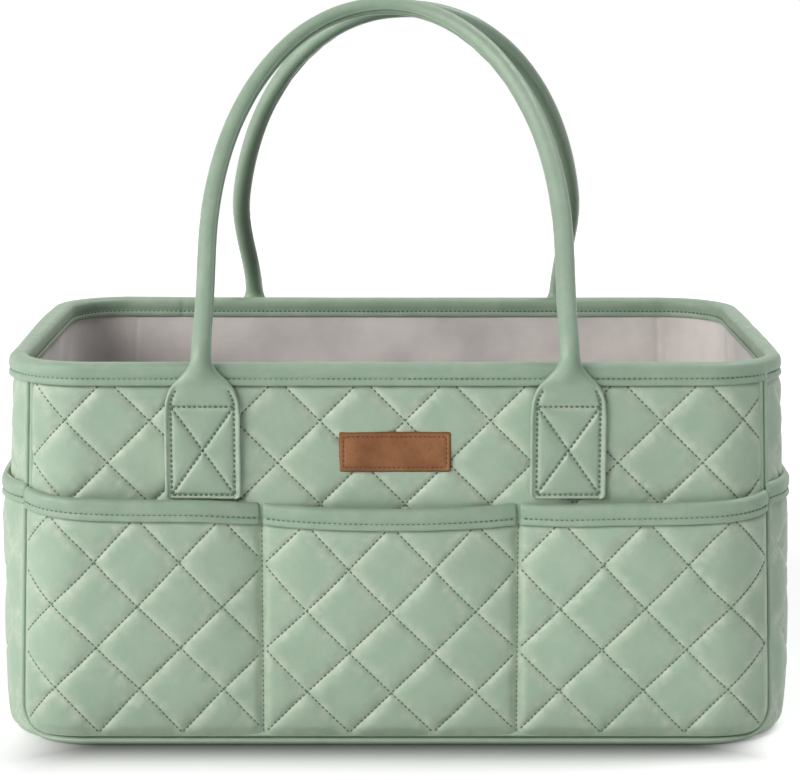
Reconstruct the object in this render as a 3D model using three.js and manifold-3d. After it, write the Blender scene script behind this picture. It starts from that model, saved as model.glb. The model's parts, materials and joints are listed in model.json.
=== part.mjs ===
// Quilted diaper caddy: a tub of quilted leather-look panels over stiff boards, lined with fabric,
// with pockets sewn on all four sides, two corded carry handles and a lift-out divider.
// Millimetres, +Z up, origin on the ground under the middle, front towards -Y.

import * as THREE from 'three';
import { mergeVertices } from 'three/addons/utils/BufferGeometryUtils.js';
import Module from 'manifold-3d';

const wasm = await Module();
wasm.setup();

// The tub
const bodyWidth = 378;
const bodyDepth = 240;
const bodyHeight = 190;
const footFlare = 7;
const cornerRadius = 40;
const sideFootRadius = 22;
const frontFootRadius = 10;

// Layers of the wall, from the outside in
const quiltThickness = 3;
const boardThickness = 1.5;
const baseBoardThickness = 2;
const liningThickness = 0.8;
const gap = 0.3;

// Seam between the front or back panel and the gusset that runs round sides and bottom
const seamFootHeight = 4;
const seamFootRadius = 17;
const gussetJointInset = 42;

// Folded edge bindings
const bindingThickness = 1;
const bindingHeight = 10.3;

// Boards stop short of the binding and of the rounded foot
const boardMargin = 2;

// Pockets. A drop is a distance below the rim
const pocketQuiltThickness = 2.5;
const frontPocketDrop = 68.5;
const frontPocketEndRise = 4.5;
const frontPocketSwell = 8;
const pocketDividerSpacing = 124;
const sidePocketDrop = 61;
const sidePocketSwell = 6;
const flapBlendHeight = 30;

// Handles
const handleSpan = 175.5;
const handleShift = -5.3;
const handleDiameter = 9.6;
const cordDiameter = 6;
const handleReach = 202.2;
const straightLegLength = 46;
const handleClearance = 0.6;

// Sewn handle tabs
const tabWidth = 36.5;
const tabThickness = 2.4;
const tabDrop = 67.2;
const tabShoulderDrop = 18;
const tabCornerRadius = 2;

// Leather patch
const patchWidth = 55;
const patchHeight = 20.5;
const patchThickness = 1.6;
const patchDrop = 43;
const patchCornerRadius = 1.5;

// Lift-out divider
const dividerThickness = 4;
const dividerSpacing = 124;
const dividerDrop = 80;
const dividerCornerRadius = 6;
const stripWidth = 20;
const stripThickness = 1.2;
const stripFootHeight = 16;
const stripEndMargin = 7;
const stripCornerRadius = 1;

// How finely round stretches are cut into facets
const cornerFacets = 6;
const footFacets = 6;
const pocketFacets = 6;
const sidePocketFacets = 8;
const pocketRows = 3;
const handleSteps = 32;
const archSteps = 16;
const legSteps = 3;
const sleeveFacets = 10;
const cordFacets = 8;
const roundFacets = 3;
const overrun = 20;

// Shapes as shares
const seamTurnShare = 0.5;
const frontSwellPowerShare = 2.4;
const sideSwellPowerShare = 2;
const endRisePowerShare = 8;
const archPowerShare = 2.26;
const hingeClearShare = 0.375;
const hingeRiseShare = 0.3646;
const tabNeckShares = [1, 0.96, 0.82, 0.6, 0.4, 0.29, 0.263];

const halfWidth = bodyWidth / 2;
const halfDepth = bodyDepth / 2;
const foldAllowance = bindingThickness + gap;
const boardDepth = quiltThickness + gap;
const liningDepth = boardDepth + boardThickness + gap;
const innerDepth = liningDepth + liningThickness;
const baseBoardFloor = quiltThickness + gap;
const liningFloor = baseBoardFloor + baseBoardThickness + gap;
const innerFloor = liningFloor + liningThickness;
const wallTop = bodyHeight - foldAllowance;
const frontPocketHeight = bodyHeight - frontPocketDrop;
const sidePocketHeight = bodyHeight - sidePocketDrop;
const tabFootHeight = bodyHeight - tabDrop;
const tabShoulderHeight = bodyHeight - tabShoulderDrop;
const patchCentreHeight = bodyHeight - patchDrop;
const dividerHeight = bodyHeight - dividerDrop;
const stripHeight = dividerHeight - 2 * stripEndMargin;
const seamAngle = seamTurnShare * (Math.PI / 2);
const seamInset = cornerRadius * (1 - Math.sin(seamAngle));
const seamFacets = Math.round(seamTurnShare * cornerFacets);

// Materials
const sage = new THREE.Color('#9dbba3');
const deepSage = new THREE.Color('#8eae95');
const grey = new THREE.Color('#a9a2a4');
const tan = new THREE.Color('#a9775a');
const cream = new THREE.Color('#d9d4c8');
const boardGrey = new THREE.Color('#c9c9c4');
const leatherFinish = { roughness: 0.62, metalness: 0 };
const fabricFinish = { roughness: 0.9, metalness: 0 };
const plasticFinish = { roughness: 0.5, metalness: 0 };

const caddy = new THREE.Group();

function addPiece(name, geometry, color, finish) {
  const material = new THREE.MeshStandardMaterial({ color, ...finish });
  const mesh = new THREE.Mesh(geometry, material);
  mesh.name = name;
  caddy.add(mesh);
}

// Booleans

function toSolid(geometry) {
  const bare = geometry.clone();
  bare.deleteAttribute('normal');
  bare.deleteAttribute('uv');
  const merged = mergeVertices(bare);
  const vertProperties = new Float32Array(merged.attributes.position.array);
  const triVerts = new Uint32Array(merged.index.array);
  return new wasm.Manifold(new wasm.Mesh({ numProp: 3, vertProperties, triVerts }));
}

function toGeometry(solid) {
  const mesh = solid.getMesh();
  const geometry = new THREE.BufferGeometry();
  const positions = new Float32Array(mesh.numVert * 3);
  for (let vertex = 0; vertex < mesh.numVert; vertex += 1) {
    for (let axis = 0; axis < 3; axis += 1) {
      positions[vertex * 3 + axis] = mesh.vertProperties[vertex * mesh.numProp + axis];
    }
  }
  geometry.setAttribute('position', new THREE.BufferAttribute(positions, 3));
  geometry.setIndex(new THREE.BufferAttribute(new Uint32Array(mesh.triVerts), 1));
  geometry.computeVertexNormals();
  return geometry;
}

// Closed meshes

function signedVolume(points, triangles) {
  const normal = new THREE.Vector3();
  let volume = 0;
  for (const [a, b, c] of triangles) {
    volume += normal.crossVectors(points[a], points[b]).dot(points[c]);
  }
  return volume;
}

function closedMesh(points, triangles) {
  const inward = signedVolume(points, triangles) < 0;
  const order = triangles.flatMap(([a, b, c]) => (inward ? [a, c, b] : [a, b, c]));
  const geometry = new THREE.BufferGeometry().setFromPoints(points);
  geometry.setIndex(order);
  geometry.computeVertexNormals();
  return geometry;
}

// A bent plate: place(columnShare, rowShare, face) gives each point of its two faces.
function slab(columns, rows, place) {
  const points = [];
  for (let face = 0; face < 2; face += 1) {
    for (let row = 0; row <= rows; row += 1) {
      for (let column = 0; column <= columns; column += 1) {
        points.push(place(column / columns, row / rows, face));
      }
    }
  }
  const index = (face, row, column) => (face * (rows + 1) + row) * (columns + 1) + column;
  const triangles = [];
  const quad = (a, b, c, d) => triangles.push([a, b, c], [a, c, d]);
  for (let row = 0; row < rows; row += 1) {
    for (let column = 0; column < columns; column += 1) {
      const corners = [[row, column], [row, column + 1], [row + 1, column + 1], [row + 1, column]];
      quad(...corners.map(([r, c]) => index(0, r, c)));
      quad(...corners.reverse().map(([r, c]) => index(1, r, c)));
    }
  }
  const edge = (rowA, columnA, rowB, columnB) => {
    const [a, b] = [0, 1].map((face) => index(face, rowA, columnA));
    const [c, d] = [1, 0].map((face) => index(face, rowB, columnB));
    quad(a, b, c, d);
  };
  for (let column = 0; column < columns; column += 1) {
    edge(0, column, 0, column + 1);
    edge(rows, column + 1, rows, column);
  }
  for (let row = 0; row < rows; row += 1) {
    edge(row + 1, 0, row, 0);
    edge(row, columns, row + 1, columns);
  }
  return closedMesh(points, triangles);
}

// A stack of convex rings with the same number of points, closed by a flat fan at each end.
function loft(rings) {
  const count = rings[0].length;
  const points = rings.flat();
  const triangles = [];
  for (let ring = 0; ring < rings.length - 1; ring += 1) {
    for (let side = 0; side < count; side += 1) {
      const next = (side + 1) % count;
      const low = ring * count;
      const high = low + count;
      triangles.push([low + side, low + next, high + next], [low + side, high + next, high + side]);
    }
  }
  const last = (rings.length - 1) * count;
  for (let side = 1; side < count - 1; side += 1) {
    triangles.push([0, side + 1, side], [last, last + side, last + side + 1]);
  }
  return closedMesh(points, triangles);
}

function roundedRectangle(width, height, radius) {
  const x = width / 2;
  const y = height / 2;
  const shape = new THREE.Shape();
  shape.moveTo(-x + radius, -y);
  shape.lineTo(x - radius, -y);
  shape.absarc(x - radius, -y + radius, radius, -Math.PI / 2, 0);
  shape.lineTo(x, y - radius);
  shape.absarc(x - radius, y - radius, radius, 0, Math.PI / 2);
  shape.lineTo(-x + radius, y);
  shape.absarc(-x + radius, y - radius, radius, Math.PI / 2, Math.PI);
  shape.lineTo(-x, -y + radius);
  shape.absarc(-x + radius, -y + radius, radius, Math.PI, Math.PI * 1.5);
  return shape;
}

function extrude(shape, depth) {
  return new THREE.ExtrudeGeometry(shape, { depth, bevelEnabled: false, curveSegments: roundFacets });
}

function block(xLow, xHigh, yLow, yHigh, zLow, zHigh) {
  const geometry = new THREE.BoxGeometry(xHigh - xLow, yHigh - yLow, zHigh - zLow);
  geometry.translate((xLow + xHigh) / 2, (yLow + yHigh) / 2, (zLow + zHigh) / 2);
  return toSolid(geometry);
}

// The outside of the tub

function halfWidthAt(z) {
  return halfWidth + footFlare * (1 - z / bodyHeight);
}

function footInset(radius, height) {
  const below = Math.max(radius - Math.max(height, 0), 0);
  return radius - Math.sqrt(radius * radius - below * below);
}

function planRing(halfX, halfY, radius, z) {
  const ring = [];
  for (let corner = 0; corner < 4; corner += 1) {
    const turn = (corner * Math.PI) / 2;
    const centreX = (corner === 0 || corner === 3 ? 1 : -1) * (halfX - radius);
    const centreY = (corner < 2 ? 1 : -1) * (halfY - radius);
    for (let facet = 0; facet <= cornerFacets; facet += 1) {
      const angle = turn + (facet / cornerFacets) * (Math.PI / 2);
      const x = centreX + radius * Math.cos(angle);
      const y = centreY + radius * Math.sin(angle);
      ring.push(new THREE.Vector3(x, y, z));
    }
  }
  return ring;
}

// Heights above its floor at which a rounded foot is cut into facets.
function footRises(radius) {
  const rises = [];
  for (let step = 0; step <= footFacets; step += 1) {
    rises.push(radius * (1 - Math.cos((step / footFacets) * (Math.PI / 2))));
  }
  return rises;
}

// The block inside a layer that lies depth inside the walls and floor above the ground.
function tub(depth, floor, top) {
  const radius = cornerRadius - depth;
  const sideFoot = sideFootRadius - depth;
  const frontFoot = frontFootRadius - depth;
  const rings = [];
  for (const rise of footRises(sideFoot)) {
    const z = floor + rise;
    const halfX = halfWidthAt(z) - depth - footInset(sideFoot, rise);
    const halfY = halfDepth - depth - footInset(frontFoot, rise);
    rings.push(planRing(halfX, halfY, radius, z));
  }
  rings.push(planRing(halfWidthAt(top) - depth, halfDepth - depth, radius, top));
  return toSolid(loft(rings));
}

// Half the flat stretch of a wall between its rounded corners.
function straightHalf(face, z) {
  const lengthwise = face === 'front' || face === 'back';
  const halfX = halfWidthAt(z) - footInset(sideFootRadius, z);
  const halfY = halfDepth - footInset(frontFootRadius, z);
  return (lengthwise ? halfX : halfY) - cornerRadius;
}

// A point on a wall, along it from its middle, at a height and an outward offset.
function wallPoint(face, along, z, offset) {
  const halfX = halfWidthAt(z) - footInset(sideFootRadius, z);
  const halfY = halfDepth - footInset(frontFootRadius, z);
  const lengthwise = face === 'front' || face === 'back';
  const straight = straightHalf(face, z);
  const past = Math.max(Math.abs(along) - straight, 0);
  const angle = past / cornerRadius;
  const reach = Math.min(Math.abs(along), straight) + (cornerRadius + offset) * Math.sin(angle);
  const across = Math.sign(along) * reach;
  const out = (lengthwise ? halfY : halfX) - cornerRadius + (cornerRadius + offset) * Math.cos(angle);
  const places = {
    front: [across, -out],
    right: [out, across],
    back: [-across, out],
    left: [-out, -across],
  };
  return new THREE.Vector3(...places[face], z);
}

// The block that holds the front panel's outline, grown by a clearance, for either long side.
function panelCutter(face, clearance) {
  const top = bodyHeight + overrun;
  const topHalf = halfWidthAt(top) - seamInset + clearance;
  const footHalf = halfWidthAt(seamFootHeight) - seamInset + clearance;
  const cornerHalf = halfWidthAt(seamFootHeight + seamFootRadius) - seamInset + clearance;
  const foot = seamFootHeight - clearance;
  const corner = foot + seamFootRadius;
  const shape = new THREE.Shape();
  shape.moveTo(-topHalf, top);
  shape.lineTo(-cornerHalf, corner);
  shape.quadraticCurveTo(-footHalf, foot, -footHalf + seamFootRadius, foot);
  shape.lineTo(footHalf - seamFootRadius, foot);
  shape.quadraticCurveTo(footHalf, foot, cornerHalf, corner);
  shape.lineTo(topHalf, top);
  const geometry = extrude(shape, overrun + overrun);
  geometry.rotateX(Math.PI / 2);
  geometry.translate(0, -halfDepth + overrun + clearance, 0);
  if (face === 'back') {
    geometry.rotateZ(Math.PI);
  }
  return toSolid(geometry);
}

const frontOutline = panelCutter('front', 0);
const backOutline = panelCutter('back', 0);
const frontOutlineGrown = panelCutter('front', gap);
const backOutlineGrown = panelCutter('back', gap);

// Quilted shell: front, back, and the gusset in three lengths

const shell = tub(0, 0, wallTop).subtract(tub(quiltThickness, quiltThickness, bodyHeight + overrun));
addPiece('front_panel', toGeometry(shell.intersect(frontOutline)), sage, leatherFinish);
addPiece('back_panel', toGeometry(shell.intersect(backOutline)), sage, leatherFinish);

const gusset = shell.subtract(frontOutlineGrown).subtract(backOutlineGrown);
const gussetJoint = halfWidth - gussetJointInset;
const farX = bodyWidth;
const farY = bodyDepth;
const farZ = bodyHeight + overrun;
const middleBlock = block(-gussetJoint, gussetJoint, -farY, farY, -overrun, farZ);
const rightBlock = block(gussetJoint + gap, farX, -farY, farY, -overrun, farZ);
const leftBlock = block(-farX, -gussetJoint - gap, -farY, farY, -overrun, farZ);
addPiece('bottom_panel', toGeometry(gusset.intersect(middleBlock)), sage, leatherFinish);
addPiece('right_side_panel', toGeometry(gusset.intersect(rightBlock)), sage, leatherFinish);
addPiece('left_side_panel', toGeometry(gusset.intersect(leftBlock)), sage, leatherFinish);

// Stiffening boards between shell and lining

const boardTop = bodyHeight - bindingHeight - boardMargin;

function wallBoard(face, footRadius) {
  const lengthwise = face === 'front' || face === 'back';
  const half = (lengthwise ? halfWidth : halfDepth) - cornerRadius - boardMargin;
  const foot = footRadius + boardMargin;
  return slab(2, 2, (columnShare, rowShare, side) => {
    const along = (columnShare * 2 - 1) * half;
    const z = foot + rowShare * (boardTop - foot);
    return wallPoint(face, along, z, -boardDepth - side * boardThickness);
  });
}

addPiece('front_board', wallBoard('front', frontFootRadius), boardGrey, plasticFinish);
addPiece('back_board', wallBoard('back', frontFootRadius), boardGrey, plasticFinish);
addPiece('left_board', wallBoard('left', sideFootRadius), boardGrey, plasticFinish);
addPiece('right_board', wallBoard('right', sideFootRadius), boardGrey, plasticFinish);

const baseBoardWidth = bodyWidth - 2 * (sideFootRadius + boardMargin);
const baseBoardLength = bodyDepth - 2 * (frontFootRadius + boardMargin);
const baseBoard = extrude(
  roundedRectangle(baseBoardWidth, baseBoardLength, cornerRadius - sideFootRadius),
  baseBoardThickness,
);
baseBoard.translate(0, 0, baseBoardFloor);
addPiece('base_board', baseBoard, boardGrey, plasticFinish);

// Lining: four walls joined at the corners and a base

const liningBag = tub(liningDepth, liningFloor, wallTop).subtract(
  tub(innerDepth, innerFloor, bodyHeight + overrun),
);
const liningBaseX = halfWidth - sideFootRadius;
const liningBaseY = halfDepth - frontFootRadius;
const liningBaseTop = innerFloor + gap;
const baseBlock = block(-liningBaseX, liningBaseX, -liningBaseY, liningBaseY, 0, liningBaseTop);
const baseHole = block(
  -liningBaseX - gap,
  liningBaseX + gap,
  -liningBaseY - gap,
  liningBaseY + gap,
  0,
  liningBaseTop,
);
const liningWalls = liningBag.subtract(baseHole);

// The wedge of plan that one long wall fills, between the corners' diagonals.
function cornerWedge(face, clearance) {
  const reach = halfDepth + overrun;
  const inner = halfWidth - halfDepth + clearance;
  const outer = inner + reach;
  const shape = new THREE.Shape();
  shape.moveTo(-inner, 0);
  shape.lineTo(-outer, -reach);
  shape.lineTo(outer, -reach);
  shape.lineTo(inner, 0);
  const geometry = extrude(shape, farZ);
  if (face === 'back') {
    geometry.rotateZ(Math.PI);
  }
  return toSolid(geometry);
}

const sideLinings = liningWalls
  .subtract(cornerWedge('front', gap + gap))
  .subtract(cornerWedge('back', gap + gap));
addPiece('base_lining', toGeometry(liningBag.intersect(baseBlock)), grey, fabricFinish);
addPiece('front_lining', toGeometry(liningWalls.intersect(cornerWedge('front', 0))), grey, fabricFinish);
addPiece('back_lining', toGeometry(liningWalls.intersect(cornerWedge('back', 0))), grey, fabricFinish);
addPiece('right_lining', toGeometry(sideLinings.intersect(rightBlock)), grey, fabricFinish);
addPiece('left_lining', toGeometry(sideLinings.intersect(leftBlock)), grey, fabricFinish);

// Rim binding: one strip folded over all the layers

const rimBand = tub(-foldAllowance, 0, bodyHeight).subtract(
  tub(innerDepth + foldAllowance, innerFloor, bodyHeight + overrun),
);
const rimLayers = tub(-gap, 0, bodyHeight - bindingThickness).subtract(
  tub(innerDepth + gap, innerFloor, bodyHeight + overrun),
);
const rimSlice = block(-farX, farX, -farY, farY, bodyHeight - bindingHeight, farZ);
const rimBinding = rimBand.intersect(rimSlice).subtract(rimLayers);
addPiece('rim_binding', toGeometry(rimBinding), deepSage, leatherFinish);

// Pockets

const frontPocket = {
  spans: 3,
  facets: pocketFacets,
  swell: frontPocketSwell,
  powerShare: frontSwellPowerShare,
  height: frontPocketHeight,
  endRise: frontPocketEndRise,
};
const sidePocket = {
  spans: 1,
  facets: sidePocketFacets,
  swell: sidePocketSwell,
  powerShare: sideSwellPowerShare,
  height: sidePocketHeight,
  endRise: 0,
};

// Stations along a pocket at a height, one on each facet edge of the corners. They run one facet past
// the seams at both ends, where the panel's outline cuts them.
function pocketStations(face, pocket, z) {
  const straight = straightHalf(face, z);
  const lengthwise = face === 'front' || face === 'back';
  const turn = cornerRadius * (lengthwise ? seamAngle : Math.PI / 2 - seamAngle);
  const inner = pocketDividerSpacing / 2;
  const bounds = pocket.spans === 1 ? [-straight, straight] : [-straight, -inner, inner, straight];
  const alongs = [];
  for (let facet = seamFacets + 1; facet > 0; facet -= 1) {
    alongs.push(-straight - (turn * facet) / seamFacets);
  }
  bounds.slice(1).forEach((high, span) => {
    const low = bounds[span];
    for (let step = 0; step < pocket.facets; step += 1) {
      alongs.push(low + ((high - low) * step) / pocket.facets);
    }
  });
  for (let facet = 0; facet <= seamFacets + 1; facet += 1) {
    alongs.push(straight + (turn * facet) / seamFacets);
  }
  const end = straight + turn;
  const edges = pocket.spans === 1 ? [-end, end] : [-end, -inner, inner, end];
  return alongs.map((along) => {
    const held = THREE.MathUtils.clamp(along, -end, end);
    const high = edges.findIndex((edge, place) => place > 0 && held <= edge);
    const low = edges[high - 1];
    return { along, inSpan: (2 * (held - low)) / (edges[high] - low) - 1, acrossWall: held / end };
  });
}

function pocketTop(pocket, acrossWall) {
  return pocket.height + pocket.endRise * Math.abs(acrossWall) ** endRisePowerShare;
}

// Clear distance from the wall to the pocket's quilted panel.
function pocketGap(pocket, column, z, top) {
  const heightShare = THREE.MathUtils.clamp((z - seamFootHeight) / (top - seamFootHeight), 0, 1);
  const flapFrom = top - bindingHeight - flapBlendHeight;
  const flapShare = THREE.MathUtils.smoothstep(z, flapFrom, flapFrom + flapBlendHeight);
  const across = 1 - Math.abs(column.inSpan) ** pocket.powerShare;
  const rise = Math.sin((heightShare * Math.PI) / 2);
  return gap + foldAllowance * flapShare + pocket.swell * across * rise;
}

// A layer of a pocket, between two heights below its top edge and two offsets from its panel.
function pocketLayer(face, pocket, rows, heightOf, inward, outward) {
  const columns = pocket.spans * pocket.facets + 2 * (seamFacets + 1);
  return toSolid(slab(columns, rows, (columnShare, rowShare, side) => {
    const station = Math.round(columnShare * columns);
    const level = pocketStations(face, pocket, pocket.height)[station];
    const top = pocketTop(pocket, level.acrossWall);
    const z = heightOf(rowShare, top);
    const column = pocketStations(face, pocket, z)[station];
    const panelGap = pocketGap(pocket, column, z, top);
    const offset = side === 0 ? panelGap - inward : panelGap + pocketQuiltThickness + outward;
    return wallPoint(face, column.along, z, offset);
  }));
}

// Heights of a pocket panel's rows: the foot's facet edges, even steps up to the lip, and the top.
function panelHeights(top) {
  const lip = top - bindingHeight;
  const heights = footRises(sideFootRadius).filter((rise) => rise > seamFootHeight);
  heights.unshift(seamFootHeight);
  for (let row = 1; row <= pocketRows; row += 1) {
    heights.push(sideFootRadius + (row / pocketRows) * (lip - sideFootRadius));
  }
  heights.push(top - foldAllowance);
  return heights;
}

function addPocket(face, pocket, trim) {
  const panelRows = panelHeights(pocket.height).length - 1;
  const panelHeight = (rowShare, top) => panelHeights(top)[Math.round(rowShare * panelRows)];
  const panel = pocketLayer(face, pocket, panelRows, panelHeight, 0, 0);
  const lipHeight = (rowShare, top) => top - bindingHeight * (1 - rowShare);
  const band = pocketLayer(face, pocket, 1, lipHeight, foldAllowance, foldAllowance);
  const channelHeight = (rowShare, top) => {
    const foot = top - bindingHeight - overrun;
    return rowShare === 0 ? foot : lipHeight(2 * rowShare - 1, top - bindingThickness);
  };
  const channel = pocketLayer(face, pocket, 2, channelHeight, gap, gap);
  addPiece(`${face}_pocket_panel`, toGeometry(trim(panel)), sage, leatherFinish);
  addPiece(`${face}_pocket_binding`, toGeometry(trim(band.subtract(channel))), deepSage, leatherFinish);
}

const trimSide = (solid) => solid.subtract(frontOutlineGrown).subtract(backOutlineGrown);
addPocket('front', frontPocket, (solid) => solid.intersect(frontOutline));
addPocket('back', frontPocket, (solid) => solid.intersect(backOutline));
addPocket('left', sidePocket, trimSide);
addPocket('right', sidePocket, trimSide);

// Handle tabs, sewn on the long walls and carried up over the rim binding

function handleTab(face, centre) {
  const half = tabWidth / 2;
  const rows = [
    [tabFootHeight, half - tabCornerRadius],
    [tabFootHeight + tabCornerRadius, half],
    [bodyHeight - bindingHeight - 3 * foldAllowance, half],
  ];
  const neckRows = tabNeckShares.length - 1;
  tabNeckShares.forEach((share, row) => {
    rows.push([tabShoulderHeight + (row / neckRows) * tabShoulderDrop, half * share]);
  });
  rows.sort((low, high) => low[0] - high[0]);
  return slab(2, rows.length - 1, (columnShare, rowShare, side) => {
    const [z, reach] = rows[Math.round(rowShare * (rows.length - 1))];
    const stepShare = z > bodyHeight - bindingHeight - 2 * foldAllowance ? 1 : 0;
    const offset = gap + stepShare * foldAllowance + side * tabThickness;
    return wallPoint(face, centre + (columnShare * 2 - 1) * reach, z, offset);
  });
}

// Each long side's handle is set off to the left as one faces it.
const longSides = [
  { face: 'front', turn: 0, ends: [['left', -1], ['right', 1]] },
  { face: 'back', turn: Math.PI, ends: [['right', -1], ['left', 1]] },
];
for (const { face, ends } of longSides) {
  for (const [endName, end] of ends) {
    const tab = handleTab(face, handleShift + (end * handleSpan) / 2);
    addPiece(`${face}_${endName}_handle_tab`, tab, deepSage, leatherFinish);
  }
}

// Handles: a leather sleeve round a cord, bent to an arch that leans in over the tub

const hingeY = halfDepth + gap + foldAllowance + tabThickness + hingeClearShare * handleDiameter;
const hingeHeight = bodyHeight + hingeRiseShare * handleDiameter;
const handleSpacing = handleDiameter + handleClearance;
const lean = Math.asin((hingeY - handleSpacing / 2) / handleReach);

// Across and along the leaning plane of a handle: straight legs, then a squared-off half ellipse.
function archPoint(angle) {
  const shareX = Math.sign(Math.cos(angle)) * Math.abs(Math.cos(angle)) ** (2 / archPowerShare);
  const shareUp = Math.abs(Math.sin(angle)) ** (2 / archPowerShare);
  return [(shareX * handleSpan) / 2, straightLegLength + shareUp * (handleReach - straightLegLength)];
}

function handlePath() {
  const stations = [];
  for (let step = 0; step < legSteps; step += 1) {
    stations.push([-handleSpan / 2, (step / legSteps) * straightLegLength]);
  }
  const rightLeg = stations.map(([across, along]) => [-across, along]).reverse();
  for (let step = 0; step <= archSteps; step += 1) {
    stations.push(archPoint(Math.PI * (1 - step / archSteps)));
  }
  stations.push(...rightLeg);
  const points = stations.map(([across, along]) => new THREE.Vector3(
    handleShift + across,
    -hingeY + along * Math.sin(lean),
    hingeHeight + along * Math.cos(lean),
  ));
  return new THREE.CatmullRomCurve3(points);
}

function polygon(path, radius, facets) {
  const points = [];
  for (let facet = 0; facet < facets; facet += 1) {
    const angle = (facet / facets) * Math.PI * 2;
    points.push(new THREE.Vector2(radius * Math.cos(angle), radius * Math.sin(angle)));
  }
  return path.setFromPoints(points);
}

function handleTube(section) {
  const extrudePath = handlePath();
  return new THREE.ExtrudeGeometry(section, { steps: handleSteps, bevelEnabled: false, extrudePath });
}

for (const { face, turn } of longSides) {
  const sleeveSection = polygon(new THREE.Shape(), handleDiameter / 2, sleeveFacets);
  sleeveSection.holes.push(polygon(new THREE.Path(), cordDiameter / 2 + gap, cordFacets));
  const sleeve = handleTube(sleeveSection);
  const cord = handleTube(polygon(new THREE.Shape(), cordDiameter / 2, cordFacets));
  sleeve.rotateZ(turn);
  cord.rotateZ(turn);
  addPiece(`${face}_handle_sleeve`, sleeve, sage, leatherFinish);
  addPiece(`${face}_handle_cord`, cord, cream, fabricFinish);
}

// Leather patch on the front

const patch = extrude(roundedRectangle(patchWidth, patchHeight, patchCornerRadius), patchThickness);
patch.rotateX(Math.PI / 2);
patch.translate(0, -halfDepth - gap, patchCentreHeight);
addPiece('leather_patch', patch, tan, leatherFinish);

// Lift-out divider: two cross walls, a wall between them, and hook strips on its ends

const dividerFoot = innerFloor + gap;
const liningFace = halfDepth - innerDepth;
const loopFace = liningFace - gap - stripThickness;
const hookFace = loopFace - gap;
const dividerEnd = hookFace - stripThickness - gap;

function uprightPlate(width, height, radius, thickness) {
  const plate = extrude(roundedRectangle(width, height, radius), thickness);
  plate.translate(0, height / 2, -thickness / 2);
  plate.rotateX(Math.PI / 2);
  return plate;
}

const crossWallX = dividerSpacing / 2;
for (const [name, side] of [['left', -1], ['right', 1]]) {
  const wall = uprightPlate(dividerEnd * 2, dividerHeight, dividerCornerRadius, dividerThickness);
  wall.rotateZ(Math.PI / 2);
  wall.translate(side * crossWallX, 0, dividerFoot);
  addPiece(`divider_${name}_wall`, wall, grey, fabricFinish);
}
const middleLength = dividerSpacing - dividerThickness - gap - gap;
const middleWall = uprightPlate(middleLength, dividerHeight, stripCornerRadius, dividerThickness);
middleWall.translate(0, 0, dividerFoot);
addPiece('divider_middle_wall', middleWall, grey, fabricFinish);

for (const [endName, end] of [['front', -1], ['back', 1]]) {
  for (const [sideName, side] of [['left', -1], ['right', 1]]) {
    for (const [kind, face] of [['loop', loopFace], ['hook', hookFace - stripThickness]]) {
      const strip = uprightPlate(stripWidth, stripHeight, stripCornerRadius, stripThickness);
      const y = end * (face + stripThickness / 2);
      strip.translate(side * crossWallX, y, stripFootHeight);
      addPiece(`${kind}_strip_${endName}_${sideName}`, strip, cream, fabricFinish);
    }
  }
}

export default caddy;
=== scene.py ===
"""Quilted diaper caddy: the visible pieces, built round the CAD frame and shown on a pale studio floor."""

import json
import math

import bmesh
import bpy
import numpy as np
from bpy.props import FloatProperty, FloatVectorProperty, PointerProperty
from bpy.types import NodeSocket, Operator, Panel, PropertyGroup
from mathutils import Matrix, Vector
from mathutils.kdtree import KDTree


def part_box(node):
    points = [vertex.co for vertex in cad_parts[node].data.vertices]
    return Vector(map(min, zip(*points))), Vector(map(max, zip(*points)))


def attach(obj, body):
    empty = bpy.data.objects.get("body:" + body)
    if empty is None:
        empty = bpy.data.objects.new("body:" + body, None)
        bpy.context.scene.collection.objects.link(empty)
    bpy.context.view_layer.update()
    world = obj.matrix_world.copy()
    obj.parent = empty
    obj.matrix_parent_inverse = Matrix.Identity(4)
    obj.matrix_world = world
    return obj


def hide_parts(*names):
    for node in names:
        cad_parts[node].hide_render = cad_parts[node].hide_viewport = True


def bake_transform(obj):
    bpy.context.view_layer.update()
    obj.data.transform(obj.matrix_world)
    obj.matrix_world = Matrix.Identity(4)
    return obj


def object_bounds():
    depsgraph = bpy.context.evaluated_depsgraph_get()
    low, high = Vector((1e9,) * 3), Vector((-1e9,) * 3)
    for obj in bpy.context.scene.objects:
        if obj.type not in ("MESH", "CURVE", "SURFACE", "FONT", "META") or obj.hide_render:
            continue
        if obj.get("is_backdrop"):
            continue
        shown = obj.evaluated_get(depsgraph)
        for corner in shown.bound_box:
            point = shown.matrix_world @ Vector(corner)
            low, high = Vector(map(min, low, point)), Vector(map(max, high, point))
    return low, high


bl_info = {
    "name": "Quilted diaper caddy",
    "version": (1, 0, 0),
    "blender": (4, 5, 0),
    "location": "3D View > Sidebar > Caddy",
    "description": "Builds the visible pieces of a quilted diaper caddy round its CAD frame",
    "category": "Object",
}

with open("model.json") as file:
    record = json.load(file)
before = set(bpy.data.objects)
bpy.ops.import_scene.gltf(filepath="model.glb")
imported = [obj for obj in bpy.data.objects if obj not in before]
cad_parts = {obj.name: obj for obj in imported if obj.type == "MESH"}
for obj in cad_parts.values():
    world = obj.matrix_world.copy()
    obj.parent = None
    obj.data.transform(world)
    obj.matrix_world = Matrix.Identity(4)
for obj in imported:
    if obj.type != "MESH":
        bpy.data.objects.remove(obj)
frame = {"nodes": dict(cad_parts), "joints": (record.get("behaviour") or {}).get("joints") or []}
CAD_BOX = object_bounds()
MM = 0.001


def cad_box(node):
    """A CAD node's lowest corner, highest corner and size, in millimetres to the nearest hundredth."""
    low, high = (np.array(corner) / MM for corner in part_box(node))
    return np.round(low, 2), np.round(high, 2), np.round(high - low, 2)


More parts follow.
